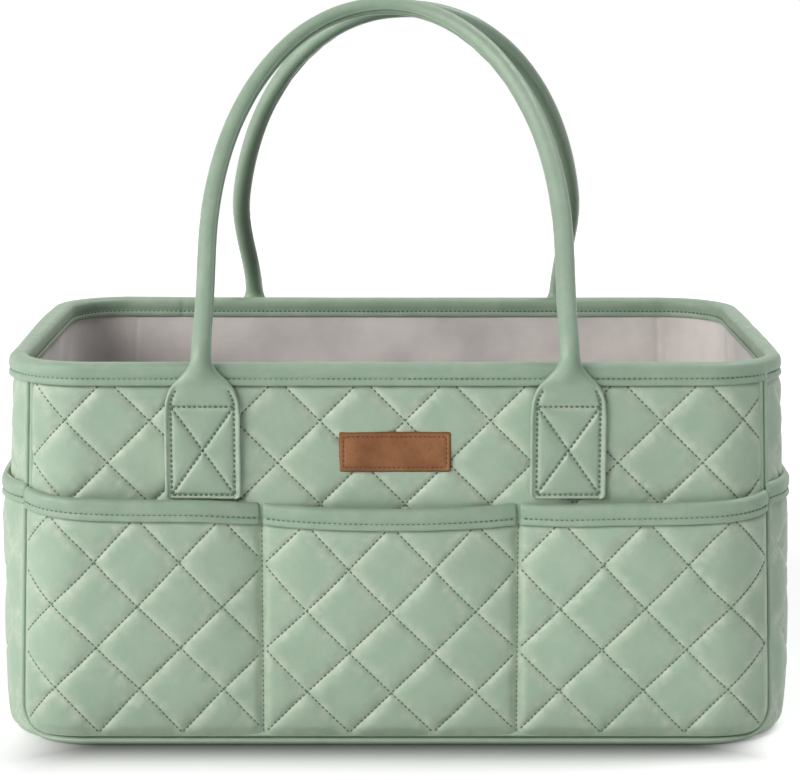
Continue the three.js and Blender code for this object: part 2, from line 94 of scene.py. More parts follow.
# The tub. Every length from here on is in millimetres, unless a comment says metres
RIM = cad_box("rim_binding")[1][2]
BAND = cad_box("rim_binding")[2][2]
HALF_DEPTH = -cad_box("front_panel")[0][1]
SEAM_FOOT = cad_box("front_panel")[0][2]
WALL_TOP = RIM - 2.0
HALF_WIDTH = 189.0
FLARE = 7.0
CORNER = 40.0
SIDE_FOOT = 7.5
FRONT_FOOT = 4.0
FOOT_DRAW = 3.6
FOOT_DRAW_HEIGHT = 45.0
SEAM_RADIUS = 13.0
SEAM_INSET = CORNER * (1 - math.sin(math.pi / 4))
SEAM_LIFT = 1.0
QUILT = 3.1
GUSSET_JOINT = 147.0
GROUND = 0.05

# Round the tub from the middle of the front to the right: its straights, its corners, and where each begins
LONG = 2 * (HALF_WIDTH - CORNER)
SHORT = 2 * (HALF_DEPTH - CORNER)
ARC = CORNER * math.pi / 2
AROUND = 2 * LONG + 2 * SHORT + 4 * ARC
TURNS = np.cumsum([0, LONG / 2, ARC, SHORT, ARC, LONG, ARC, SHORT, ARC, LONG / 2])

# Quilting: the upper panel's and the pocket's sewn lines cross at these points (along, height)
PITCH = 1.025
PERIOD = 40 * PITCH
UPPER_CROSSING = (4.1, 162.0)
POCKET_CROSSING = (-2.6, 68.5)

# Pockets. The long pocket is sewn down at two lines, each this far from its middle
FRONT_POCKET_TOP = 121.5
SIDE_POCKET_TOP = 129.0
POCKET_SEAM = 62.0
POCKET_MIDDLE = -3.2
POCKET_SEAMS = (POCKET_MIDDLE - POCKET_SEAM, POCKET_MIDDLE + POCKET_SEAM)

# Folded bindings: how far below its top a strip is sewn, and how far apart its places are
STITCH_DROP = 7.3
BAND_STEP = 0.9

# Handles: where the tabs stand, and the hinge's outward place and height
TAB_BOXES = (cad_box("front_left_handle_tab"), cad_box("front_right_handle_tab"))
LEFT_TAB, RIGHT_TAB = ((low[0] + high[0]) / 2 for low, high, _ in TAB_BOXES)
HANDLE_SPAN = round(RIGHT_TAB - LEFT_TAB, 2)
HANDLE_SHIFT = round((LEFT_TAB + RIGHT_TAB) / 2, 2)
HANDLE_RADIUS = 4.8
SWING = next(joint for joint in frame["joints"] if joint["name"] == "front_handle_swing")
HINGE = [round(abs(v) / MM, 2) for v in SWING["pos_m"][1:]]
TAB_FOOT = 124.7

UP = np.array([0.0, 0.0, 1.0])
FORWARD = np.array([0.0, -1.0, 0.0])


# Numbers


def smooth(x, low=0.0, high=1.0):
    """Rises smoothly from 0 at low to 1 at high."""
    t = np.clip((x - low) / (high - low), 0, 1)
    return t * t * (3 - 2 * t)


def bell(x, width):
    """1 at 0, falling away on both sides over about a width."""
    return np.exp(-((x / width) ** 2))


def noise(x, y, cell, seed):
    """Smooth noise from -1 to 1 over a plane, with features about one cell wide."""
    size = 64
    table = np.random.default_rng(seed).uniform(-1, 1, (size, size))
    gx, gy = x / cell, y / cell
    ix, iy = np.floor(gx).astype(int), np.floor(gy).astype(int)
    fx, fy = smooth(gx - ix), smooth(gy - iy)
    at = lambda i, j: table[(ix + i) % size, (iy + j) % size]
    low = at(0, 0) * (1 - fx) + at(1, 0) * fx
    high = at(0, 1) * (1 - fx) + at(1, 1) * fx
    return low * (1 - fy) + high * fy


def unit(v):
    """Directions of length 1."""
    return v / np.maximum(np.linalg.norm(v, axis=-1, keepdims=True), 1e-9)


def turn_out(along):
    """Level directions a quarter turn to the right of others."""
    return unit(np.stack([along[..., 1], -along[..., 0], 0 * along[..., 0]], -1))


def linear(code):
    """A linear colour, opaque, from an sRGB hex code."""
    parts = [int(code[i : i + 2], 16) / 255 for i in (1, 3, 5)]
    return (*(c / 12.92 if c <= 0.04045 else ((c + 0.055) / 1.055) ** 2.4 for c in parts), 1.0)


def run_along(points):
    """How far along a polyline each of its points lies."""
    return np.concatenate([[0], np.cumsum(np.linalg.norm(np.diff(points, axis=0), axis=1))])


def resample(points, spacing):
    """Points evenly spaced along a polyline."""
    run = run_along(points)
    count = max(int(round(run[-1] / spacing)), 1)
    at = np.linspace(0, run[-1], count + 1)
    return np.stack([np.interp(at, run, points[:, k]) for k in range(points.shape[1])], -1)


def spline(knots, count):
    """A smooth curve through knots, evenly spaced by knot."""
    padded = np.vstack([2 * knots[0] - knots[1], knots, 2 * knots[-1] - knots[-2]])
    t = np.linspace(0, len(knots) - 1, count)
    i = np.minimum(t.astype(int), len(knots) - 2)
    f = (t - i)[:, None]
    p0, p1, p2, p3 = (padded[i + k] for k in range(4))
    bend = (2 * p0 - 5 * p1 + 4 * p2 - p3) * f**2 + (3 * p1 - p0 - 3 * p2 + p3) * f**3
    return 0.5 * (2 * p1 + (p2 - p0) * f + bend)


# The tub's outside


def foot_inset(radius, z):
    """How far a foot rounded to a radius draws in at a height."""
    below = np.maximum(radius - np.maximum(z, 0), 0)
    return radius - np.sqrt(radius * radius - below * below)


def flared_x(z):
    """Half the tub's width at a height, before its foot rounds in."""
    return HALF_WIDTH + FLARE * (1 - z / RIM)


def half_x(z):
    """Half the tub's width at a height."""
    return flared_x(z) - foot_inset(SIDE_FOOT, z) - FOOT_DRAW * np.clip(1 - z / FOOT_DRAW_HEIGHT, 0, 1) ** 2


def half_y(z):
    """Half the tub's depth at a height."""
    return HALF_DEPTH - foot_inset(FRONT_FOOT, z)


def seam_x(z):
    """Where the front panel's side seam lies, before its foot corner rounds in."""
    return flared_x(z) - SEAM_INSET


def wall(along, z, offset=0.0):
    """A point on the front, by its run along the wall from the middle, its height and its outward offset."""
    straight = half_x(z) - CORNER
    turn = np.maximum(np.abs(along) - straight, 0) / CORNER
    x = np.sign(along) * (np.minimum(np.abs(along), straight) + (CORNER + offset) * np.sin(turn))
    y = -(half_y(z) - CORNER + (CORNER + offset) * np.cos(turn))
    return np.stack([x, y, z + 0 * x], -1)


def run_to(x, z):
    """The run along the front wall to a given x."""
    straight = half_x(z) - CORNER
    past = np.clip((x - straight) / CORNER, -1, 1)
    return np.where(x <= straight, x, straight + CORNER * np.arcsin(past))


def seam_run(z):
    """The run along the front wall to its side seam, before its foot corner rounds in."""
    return run_to(seam_x(z), z)


def outline_x(z):
    """Half width of the front panel's outline at a height, rounded corners included."""
    below = np.clip(SEAM_FOOT + SEAM_RADIUS - z, 0, SEAM_RADIUS)
    return seam_x(z) - SEAM_RADIUS + np.sqrt(SEAM_RADIUS**2 - below**2)


def outline_depth(along, z):
    """Distance inside the front panel's outline, at its sides and foot."""
    across = seam_run(z) - np.abs(along)
    up = z - SEAM_FOOT
    in_corner = (across < SEAM_RADIUS) & (up < SEAM_RADIUS)
    round_in = SEAM_RADIUS - np.hypot(SEAM_RADIUS - across, SEAM_RADIUS - up)
    return np.where(in_corner, round_in, np.minimum(across, up))


def ring(z, offset, count):
    """Points round the tub at a height and offset, from the front's middle to the right, and their outward
    directions."""
    at = np.arange(count) * AROUND / count
    stretch = np.searchsorted(TURNS, at, "right") - 1
    share = (at - TURNS[stretch]) / (TURNS[stretch + 1] - TURNS[stretch])
    quarter, curved = stretch // 2, stretch % 2
    centres = np.array([(0, -1), (1, -1), (1, 1), (-1, 1), (-1, -1), (0, -1)])
    centres = centres * (half_x(z) - CORNER, half_y(z) - CORNER)
    start, stop = centres[quarter], centres[quarter + 1]
    centre = np.where(curved[:, None], stop, start + (stop - start) * share[:, None])
    angle = (quarter - 1 + curved * share) * math.pi / 2
    level = centre + (CORNER + offset) * np.stack([np.cos(angle), np.sin(angle)], -1)
    points = np.column_stack([level, np.full(count, float(z))])
    return points, turn_out(np.roll(points, -1, 0) - np.roll(points, 1, 0))


def on_floor(points):
    """Nothing sinks under the ground that the tub stands on."""
    return np.concatenate([points[..., :2], np.maximum(points[..., 2:], GROUND)], -1)


def turned(points, back):
    """The back of the tub is its front turned half round."""
    return points * np.array([-1.0, -1.0, 1.0]) if back else points


# Meshes

# In metres: points closer than this are one
WELD = 2e-6


def make_object(name, points, faces, material):
    """A mesh object in metres from points in millimetres and arrays of faces, welded and facing out."""
    mesh = bpy.data.meshes.new(name)
    mesh.vertices.add(len(points))
    mesh.vertices.foreach_set("co", (np.asarray(points, np.float32) * MM).ravel())
    loops = np.concatenate([f.ravel() for f in faces])
    totals = np.concatenate([np.full(len(f), f.shape[1]) for f in faces])
    starts = np.concatenate([[0], np.cumsum(totals)[:-1]])
    mesh.loops.add(len(loops))
    mesh.loops.foreach_set("vertex_index", loops.astype(np.int32))
    mesh.polygons.add(len(totals))
    mesh.polygons.foreach_set("loop_start", starts.astype(np.int32))
    mesh.update(calc_edges=True)
    mesh.validate()
    shape = bmesh.new()
    shape.from_mesh(mesh)
    bmesh.ops.remove_doubles(shape, verts=shape.verts, dist=WELD)
    bmesh.ops.dissolve_degenerate(shape, edges=shape.edges, dist=WELD / 2)
    bmesh.ops.recalc_face_normals(shape, faces=shape.faces)
    shape.to_mesh(mesh)
    shape.free()
    mesh.shade_smooth()
    mesh.materials.append(MATERIALS[material])
    piece = bpy.data.objects.new(name, mesh)
    bpy.context.scene.collection.objects.link(piece)
    return piece


def settle(piece, body, nodes=()):
    """Rides a piece on its body and hides the CAD nodes it stands for."""
    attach(piece, body)
    if nodes:
        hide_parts(*nodes)


def triangles(a, b, c):
    """Faces from three arrays of corners."""
    return np.stack([a.ravel(), b.ravel(), c.ravel()], -1)


def closed_sheet(outer, inner, leaning, step=4):
    """Points and triangles of a closed sheet. The outer grid is cut along the diagonals that leaning picks,
    and the inner one is coarser."""
    inner = inner[::step, ::step]
    fine = np.arange(outer.size // 3).reshape(outer.shape[:2])
    coarse = fine.size + np.arange(inner.size // 3).reshape(inner.shape[:2])
    corners = lambda index: (index[:-1, :-1], index[:-1, 1:], index[1:, 1:], index[1:, :-1])
    a, b, c, d = corners(fine)
    parts = [
        triangles(a[leaning], b[leaning], c[leaning]),
        triangles(a[leaning], c[leaning], d[leaning]),
        triangles(a[~leaning], b[~leaning], d[~leaning]),
        triangles(b[~leaning], c[~leaning], d[~leaning]),
    ]
    a, b, c, d = corners(coarse)
    parts += [triangles(a, c, b), triangles(a, d, c)]
    rims = [lambda g: g[0], lambda g: g[-1][::-1], lambda g: g[::-1, 0], lambda g: g[:, -1]]
    for rim in rims:
        out, back = rim(fine), rim(coarse)
        for k in range(step):
            second = out[k + 1 :: step]
            near = back[:-1] if k < step / 2 else back[1:]
            parts.append(triangles(second, out[k:-1:step], near))
        parts.append(triangles(back[:-1], back[1:], out[step // 2 :: step]))
    points = np.concatenate([outer.reshape(-1, 3), inner.reshape(-1, 3)])
    return points, [np.concatenate(parts)]


def even(count, step=4):
    """The next count that a closed sheet's coarse side divides."""
    return (count - 1 + step - 1) // step * step + 1


def ticks(low, high, origin, pitch):
    """Places from low to high that fall on the quilting's own grid, with the ends added."""
    first = math.ceil((low - origin) / pitch + 1e-6)
    last = math.floor((high - origin) / pitch - 1e-6)
    places = np.concatenate([[low], origin + np.arange(first, last + 1) * pitch, [high]])
    return np.concatenate([places, np.full(even(len(places)) - len(places), high)])


def loft(rings, closed=False):
    """Points and faces of rings of points joined in order, capped at both ends or closed on themselves."""
    index = np.arange(rings.size // 3).reshape(rings.shape[:2])
    beside = np.roll(index, -1, axis=1)
    end = None if closed else -1
    after = lambda g: np.roll(g, -1, axis=0)[:end]
    faces = [np.stack([g.ravel() for g in (index[:end], beside[:end], after(beside), after(index))], -1)]
    if not closed:
        faces += [index[:1, ::-1], index[-1:]]
    return rings.reshape(-1, 3), faces


def store_share(piece, points, shares, name="seam"):
    """Stores a share on each vertex, read off the nearest of the points."""
    tree = KDTree(len(points))
    for k, p in enumerate(points):
        tree.insert(p * MM, k)
    tree.balance()
    found = [shares[tree.find(v.co)[1]] for v in piece.data.vertices]
    attribute = piece.data.attributes.new(name, "FLOAT", "POINT")
    attribute.data.foreach_set("value", np.asarray(found, np.float32))


# Quilting

# How steeply a puff rises from its sewn lines, how much puffs differ, how high the leather puckers beside
# a line, and its dents: how deep and how wide
PUFF_STEEPNESS = 5.4
PUFF_VARIETY = 0.16
PUCKER = 0.36
DENTS = ((0.34, 34), (0.2, 13))
# How far from a sewn line the leather is painted paler, partly as wear and partly as a painted highlight
WEAR_AND_HIGHLIGHT_REACH = 7


def lines_near(along, z, crossing):
    """Distances to the nearest sewn line of each family, and the place along that line."""
    a = (along - crossing[0] + z - crossing[1]) / PERIOD
    b = (along - crossing[0] - z + crossing[1]) / PERIOD
    scale = PERIOD / math.sqrt(2)
    return (a - np.round(a)) * scale, (b - np.round(b)) * scale, a, b


def quilt(along, z, crossing, seed, depth):
    """Height of the puffed leather over its sewn lines."""
    da, db, a, b = lines_near(along, z, crossing)
    half = PERIOD / math.sqrt(8)
    rise = lambda d: 1 - (1 - np.minimum(np.abs(d) / half, 1)) ** PUFF_STEEPNESS
    full = 1 + PUFF_VARIETY * noise(np.floor(a) + 0.5, np.floor(b) + 0.5, 0.37, seed)
    puff = depth * full * (rise(da) * rise(db)) ** 0.75
    near = np.minimum(np.abs(da), np.abs(db))
    to_a = np.abs(da) < np.abs(db)
    # Beside a sewn line the leather puckers, each side and each line in its own way.
    run = np.where(to_a, b, a) * PERIOD / math.sqrt(2)
    side = np.where(to_a, np.sign(da), np.sign(db)) * 97 + np.where(to_a, np.round(a), np.round(b)) * 31
    pucker = noise(run, side, 2.4, seed + 1) * near * np.exp(-near / 2.0) * PUCKER
    dent = sum(deep * noise(along, z, wide, seed + 2 + k) for k, (deep, wide) in enumerate(DENTS))
    return puff + pucker + dent * smooth(near, 0, 6)


def leans(along, z, crossing):
    """Which way each cell of a grid is cut, so that edges follow the sewn lines."""
    middle = lambda g: (g[:-1, :-1] + g[1:, 1:]) / 2
    da, db, _, _ = lines_near(middle(along), middle(z), crossing)
    return np.abs(db) < np.abs(da)


def edge_roll(depth, radius=2.2):
    """How far a sewn edge turns in, by its distance from the seam."""
    left = np.clip(radius - depth, 0, radius)
    return radius - np.sqrt(radius**2 - left**2)


def under_band(lip):
    """How full the quilting stands, by its distance below a binding that holds it down."""
    return 0.25 + 0.75 * smooth(lip, 0, 7)


def band_groove(lip):
    """The share by which the quilting dips where a binding's lip presses on it."""
    return bell(lip - 1.0, 1.1)


def seam_share(along, height, crossing, depth):
    """1 on a sewn line or edge, falling to 0 some millimetres away."""
    da, db, _, _ = lines_near(along, height, crossing)
    near = np.minimum(np.minimum(np.abs(da), np.abs(db)), np.maximum(depth, 0))
    return np.clip(1 - near / WEAR_AND_HIGHLIGHT_REACH, 0, 1)


class Grid:
    """A finished surface over a grid of places, which thread and patches sample."""

    def __init__(self, us, vs, points, normals):
        self.us, self.vs, self.points, self.normals = us, vs, points, normals

    @staticmethod
    def cell(places, at):
        """The cell that holds each place, and the share of the way across it."""
        i = np.clip(np.searchsorted(places, at) - 1, 0, len(places) - 2)
        return i, np.clip((at - places[i]) / np.maximum(places[i + 1] - places[i], 1e-9), 0, 1)[:, None]

    def at(self, u, v):
        """Points and normals at places on the grid."""
        i, fu = self.cell(self.us, u)
        j, fv = self.cell(self.vs, v)
        across = lambda g, row: g[row, i] * (1 - fu) + g[row, i + 1] * fu
        mixed = lambda g: across(g, j) * (1 - fv) + across(g, j + 1) * fv
        return mixed(self.points), unit(mixed(self.normals))


def add_sheet(name, node, grid, inner, crossing, share, fill=0.5, material="leather", slot="quilted_leather"):
    """A closed sheet on the tub, whose outer face is a grid's, with its share of seam stored on it."""
    points, faces = closed_sheet(grid.points, inner, leans(*np.meshgrid(grid.us, grid.vs), crossing))
    piece = make_object(name, points, faces, material)
    store_share(piece, grid.points[::2, ::2].reshape(-1, 3), share[::2, ::2].ravel())
    settle(piece, "caddy", [node])


# Thread

# A stitch from end to end: the place along its half length, its width and its height
STITCH_SHAPE = ((-1.0, 0.35, -0.3), (-0.62, 1.0, 0.0), (0.62, 1.0, 0.0), (1.0, 0.35, -0.3))
STITCH_SIDES = 6
# Stitches that differ from the quilting's, in their pitch, their share of it, or their width
BAND_STITCH = {"width": 0.46, "share": 0.66}
TAB_STITCH = {"width": 0.58, "share": 0.68}
PATCH_STITCH = {"width": 0.3, "pitch": 2.3}
LONG_STITCH = {"pitch": 3.0}


def stitches(runs, pitch=2.5, share=0.62, width=0.42, lift=0.08):
    """Points and faces of sewn stitches along runs of (points, normals)."""
    groups = []
    for points, normals in runs:
        path = resample(np.hstack([points, normals]), pitch)
        if len(path) < 3:
            continue
        p, n = path[:, :3], unit(path[:, 3:])
        start, stop, up = p[:-1], p[1:], unit(n[:-1] + n[1:])
        side = unit(np.cross(unit(stop - start), up))
        half = (stop - start) * share / 2
        middle = (start + stop) / 2 + up * lift
        rings = []
        for along, wide, high in STITCH_SHAPE:
            base = middle + half * along + up * high * width
            for angle in np.arange(STITCH_SIDES) * math.pi / 3:
                rings.append(base + wide * width * (side * math.cos(angle) + up * math.sin(angle) * 0.8))
        groups.append(np.stack(rings, 1))
    shape = (-1, len(STITCH_SHAPE), STITCH_SIDES)
    group = on_floor(np.concatenate(groups)).reshape(*shape, 3)
    index = np.arange(group.size // 3).reshape(shape)
    nxt = np.roll(index, -1, axis=2)
    quads = np.stack([index[:, :-1], nxt[:, :-1], nxt[:, 1:], index[:, 1:]], -1).reshape(-1, 4)
    caps = np.concatenate([index[:, 0, ::-1], index[:, -1]])
    return group.reshape(-1, 3), [quads, caps]


def add_thread(name, runs, body, slot="quilted_leather", material="thread", **options):
    """Sews a line of stitches along each run."""
    if not runs:
        raise RuntimeError(f"{name}: there is nothing to sew")
    settle(make_object(name, *stitches(runs, **options), material), body)


def runs_where(grid, u, v, inside):
    """The parts of a run of places that lie inside, as points and normals on a grid."""
    marks = np.flatnonzero(np.diff(np.concatenate([[0], inside.astype(int), [0]])))
    return [grid.at(u[start:stop], v[start:stop]) for start, stop in marks.reshape(-1, 2) if stop - start > 4]


def quilting_runs(grid, crossing, inside):
    """Every sewn diagonal over a grid, clipped to where inside(u, v) holds."""
    left, right, low, high = grid.us[0], grid.us[-1], grid.vs[0], grid.vs[-1]
    runs = []
    count = int((right - left + high - low) / PERIOD) + 2
    v = np.arange(low, high, 0.5)
    for k in range(-count, count + 1):
        for sign in (1, -1):
            u = crossing[0] + k * PERIOD - sign * (v - crossing[1])
            on_grid = (u > left) & (u < right)
            runs += runs_where(grid, u, v, on_grid & inside(u, v))
    return runs


# Materials


def set_inputs(tree, node, inputs):
    """Sets a node's inputs, each to a value or from another node's output."""
    for key, value in inputs.items():
        if isinstance(value, NodeSocket):
            tree.links.new(value, node.inputs[key])
        else:
            node.inputs[key].default_value = value


def add_node(tree, kind, inputs=(), stops=(), out=0, **settings):
    """Adds a node with its settings, inputs and ramp stops of (place, colour or grey). Gives one of its
    outputs."""
    made = tree.nodes.new("ShaderNode" + kind)
    for key, value in settings.items():
        setattr(made, key, value)
    set_inputs(tree, made, dict(inputs))
    for k, (at, value) in enumerate(stops):
        bar = made.color_ramp.elements
        element = bar[k] if k < len(bar) else bar.new(at)
        element.position = at
        element.color = value if isinstance(value, tuple) else (value, value, value, 1)
    return made.outputs[out]


# A mix of two colours: its inputs are 0, the share, and 6 and 7, the colours
COLOURS = {"out": 2, "data_type": "RGBA"}


def speckle(size, detail, distortion=0.0, roughness=0.5):
    """Noise inputs for features that are about so many millimetres across."""
    return {"Scale": 1 / (size * MM), "Detail": detail, "Distortion": distortion, "Roughness": roughness}


def pressed(height, depth, below=None):
    """Bump inputs for a height that stands so many millimetres proud, over the bumps below it."""
    inputs = {"Height": height, "Distance": depth * MM, "Strength": 1.0}
    return inputs if below is None else {**inputs, "Normal": below}


def leather(tree, place, base, light, dark, shaded_tube=None):
    """Polyurethane leather with a brushed, nubuck-like face: matt, finely pored, painted paler beside its
    sewn lines and edges, partly as wear and partly as a painted highlight. Where it is drawn tight round a
    cord it shines more, and a painted shade in the colour of shaded_tube deepens it."""
    at = {"Vector": place}
    clouds = add_node(tree, "TexNoise", {**at, **speckle(42, 4, 0.6)})
    clouds = add_node(tree, "ValToRGB", {0: clouds}, [(0.35, 0.22), (0.6, 0.0)])
    colour = add_node(tree, "Mix", {0: clouds, 6: base, 7: dark}, **COLOURS)
    patches = add_node(tree, "TexNoise", {**at, **speckle(9, 3, 0.3)})
    patches = add_node(tree, "ValToRGB", {0: patches}, [(0.45, 0.0), (0.8, 0.22)])
    colour = add_node(tree, "Mix", {0: patches, 6: colour, 7: light}, **COLOURS)
    # Along a sewn line the leather is painted paler, partly as the brushed face's wear and partly as a
    # painted highlight. Right on the line it stays darker, a painted shade in the needle holes.
    seam = add_node(tree, "Attribute", out="Fac", attribute_name="seam")
    seam = add_node(tree, "ValToRGB", {0: seam}, [(0.15, 0.0), (0.6, 0.4), (0.88, 0.75), (1.0, 0.15)])
    brushed = add_node(tree, "TexNoise", {**at, **speckle(5.5, 3, 0.4)})
    brushed = add_node(tree, "ValToRGB", {0: brushed}, [(0.38, 0.25), (0.66, 1.0)])
    wear_and_highlight = add_node(tree, "Mix", {0: 1.0, 6: seam, 7: brushed}, blend_type="MULTIPLY", **COLOURS)
    colour = add_node(tree, "Mix", {0: wear_and_highlight, 6: colour, 7: light}, **COLOURS)
    pores = add_node(tree, "TexNoise", {**at, **speckle(0.55, 2, roughness=0.7)})
    holes = add_node(tree, "ValToRGB", {0: pores}, [(0.3, 0.16), (0.5, 0.0)])
    colour = add_node(tree, "Mix", {0: holes, 6: colour, 7: dark}, **COLOURS)
    rough = add_node(tree, "TexNoise", {**at, **speckle(5, 3)})
    rough = add_node(tree, "ValToRGB", {0: rough}, [(0.3, 0.42), (0.7, 0.56)])
    if shaded_tube:
        # On a handle's tube the colour is painted deeper towards shaded_tube, most on the side that faces
        # right and down: a painted shade. The tube also shines more there.
        drawn = add_node(tree, "Attribute", out="Fac", attribute_name="sleeve")
        deep = add_node(tree, "ValToRGB", {0: drawn}, [(0.0, 0.0), (1.0, 0.85)])
        colour = add_node(tree, "Mix", {0: deep, 6: colour, 7: shaded_tube}, **COLOURS)
        rough = add_node(tree, "Mix", {0: drawn, 6: rough, 7: (0.3, 0.3, 0.3, 1)}, **COLOURS)
    creases = add_node(tree, "TexNoise", {**at, **speckle(6, 3, 0.8)})
    creases = add_node(tree, "Bump", pressed(creases, 0.10))
    return {
        "Base Color": colour,
        "Roughness": rough,
        "Normal": add_node(tree, "Bump", pressed(pores, 0.05, creases)),
        "IOR": 1.5,
        "Specular IOR Level": 0.75 if shaded_tube else 0.5,
        "Sheen Weight": 0.3,
        "Sheen Roughness": 0.4,
        "Sheen Tint": light,
    }


def woven(tree, place, base, dark, spacing, sheen=0.1, depth=0.06):
    """Plain-woven polyester: crossing threads, at a spacing that still shows, over faint cloudy shade."""
    cloth = None
    for axis, joined in (("X", None), ("Y", "MAXIMUM"), ("Z", "MULTIPLY")):
        # A wave's bands are 0.314 of a unit apart at a scale of 1.
        inputs = {"Vector": place, "Scale": 0.314 / (spacing * MM), "Distortion": 0.4}
        inputs |= {"Detail": 1.0, "Detail Scale": 2.0}
        threads = add_node(tree, "TexWave", inputs, out="Fac", bands_direction=axis)
        cloth = add_node(tree, "Math", {0: cloth, 1: threads}, operation=joined) if joined else threads
    shade = add_node(tree, "TexNoise", {"Vector": place, **speckle(30, 3)})
    shade = add_node(tree, "ValToRGB", {0: shade}, [(0.3, dark), (0.7, base)])
    gaps = add_node(tree, "ValToRGB", {0: cloth}, [(0.1, 0.35), (0.7, 0.0)])
    return {
        "Base Color": add_node(tree, "Mix", {0: gaps, 6: shade, 7: dark}, **COLOURS),
        "Roughness": 0.85,
        "Normal": add_node(tree, "Bump", pressed(cloth, depth)),
        "Sheen Weight": sheen,
        "Sheen Roughness": 0.5,
    }


def spun(tree, place, base, dark):
    """Twisted polyester sewing thread: slanting plies with a soft shine."""
    plies = add_node(tree, "TexNoise", {"Vector": place, **speckle(0.7, 2)})
    fuzz = add_node(tree, "TexNoise", {"Vector": place, **speckle(0.3, 1, 1.0)})
    return {
        "Base Color": add_node(tree, "ValToRGB", {0: plies}, [(0.3, dark), (0.7, base)]),
        "Roughness": 0.55,
        "Normal": add_node(tree, "Bump", pressed(fuzz, 0.05)),
        "Sheen Weight": 0.2,
    }


def suede(tree, place, base, light, dark):
    """Split cowhide with a waxed face: fine fibrous grain, darker towards the cut edge."""
    colour = add_node(tree, "TexNoise", {"Vector": place, **speckle(16, 4, 0.1)})
    colour = add_node(tree, "ValToRGB", {0: colour}, [(0.2, dark), (0.5, base), (0.85, light)])
    edge = add_node(tree, "Attribute", out="Fac", attribute_name="seam")
    edge = add_node(tree, "ValToRGB", {0: edge}, [(0.3, 0.0), (0.95, 0.7)])
    colour = add_node(tree, "Mix", {0: edge, 6: colour, 7: dark}, **COLOURS)
    fibres = add_node(tree, "TexNoise", {"Vector": place, **speckle(0.8, 4, 1.5, 0.7)})
    between = add_node(tree, "ValToRGB", {0: fibres}, [(0.35, 0.45), (0.55, 0.0)])
    return {
        "Base Color": add_node(tree, "Mix", {0: between, 6: colour, 7: dark}, **COLOURS),
        "Roughness": 0.7,
        "Normal": add_node(tree, "Bump", pressed(fibres, 0.16)),
        "Specular IOR Level": 0.3,
    }


def tape(tree, place, base, dark, spacing):
    """Nylon touch tape: a field of tiny hooks or loops standing on a woven ground."""
    tufts = add_node(tree, "TexVoronoi", {"Vector": place, "Scale": 1 / (spacing * MM), "Randomness": 0.7})
    return {
        "Base Color": add_node(tree, "ValToRGB", {0: tufts}, [(0.1, base), (0.6, dark)]),
        "Roughness": 0.75,
        "Normal": add_node(tree, "Bump", pressed(tufts, 0.4)),
        "Sheen Weight": 0.3,
    }


def board(tree, place, base, dark):
    """Grey stiffening board, pressed from pulp: flat and faintly speckled."""
    specks = add_node(tree, "TexNoise", {"Vector": place, **speckle(1.2, 5, roughness=0.8)})
    pulp = add_node(tree, "TexNoise", {"Vector": place, **speckle(0.6, 3)})
    return {
        "Base Color": add_node(tree, "ValToRGB", {0: specks}, [(0.35, dark), (0.6, base)]),
        "Roughness": 0.9,
        "Normal": add_node(tree, "Bump", pressed(pulp, 0.03)),
    }


# Under the caddy the floor is painted darker. Along X (0) or Y (1), from and to how many metres from its
# middle the paint clears to white at the ends and past the long feet, and the lift fades in past those feet
CLEAR_ENDS = (0, 0.140, 0.2)
CLEAR_FEET = (1, 0.115, 0.155)
LIFT_FEET = (1, 0.117, 0.186)
FLOOR_LIFT = 0.45


def seen_white(tree):
    """1 where the camera or a reflection looks, and 0 for the light that falls on the object."""
    rays = 0.0
    for kind in ("Is Camera Ray", "Is Glossy Ray", "Is Transmission Ray"):
        ray = add_node(tree, "LightPath", out=kind)
        rays = add_node(tree, "Math", {0: rays, 1: ray}, operation="MAXIMUM")
    return rays


def paper(tree, place):
    """Matt white paper sweep. The camera and reflections see it lifted to white, and it keeps the shadow.
    Its colour is painted darker under the caddy and just past its long feet. This deepens the shadow there to
    the photograph's, which the lamps alone don't cast."""
    apart = add_node(tree, "VectorMath", {0: place}, operation="ABSOLUTE")
    clear = []
    for axis, near, far in (CLEAR_ENDS, CLEAR_FEET, LIFT_FEET):
        reach = add_node(tree, "SeparateXYZ", {0: apart}, out=axis)
        inputs = {"Value": reach, "From Min": near, "From Max": far}
        clear.append(add_node(tree, "MapRange", inputs, interpolation_type="SMOOTHSTEP"))
    bare = add_node(tree, "Math", {0: clear[0], 1: clear[1]}, operation="MAXIMUM")
    # The lift fades out towards the long feet, so that the shadow where the caddy stands stays dark.
    lift = add_node(tree, "Math", {0: clear[0], 1: clear[2]}, operation="MAXIMUM")
    for factor in (FLOOR_LIFT, seen_white(tree)):
        lift = add_node(tree, "Math", {0: lift, 1: factor}, operation="MULTIPLY")
    dark, white = linear("#656965"), linear("#f6f6f7")
    return {
        "Base Color": add_node(tree, "Mix", {0: bare, 6: dark, 7: white}, **COLOURS),
        "Roughness": 1.0,
        "Specular IOR Level": 0.0,
        "Emission Color": (1, 1, 1, 1),
        "Emission Strength": lift,
    }


MATERIALS = {}


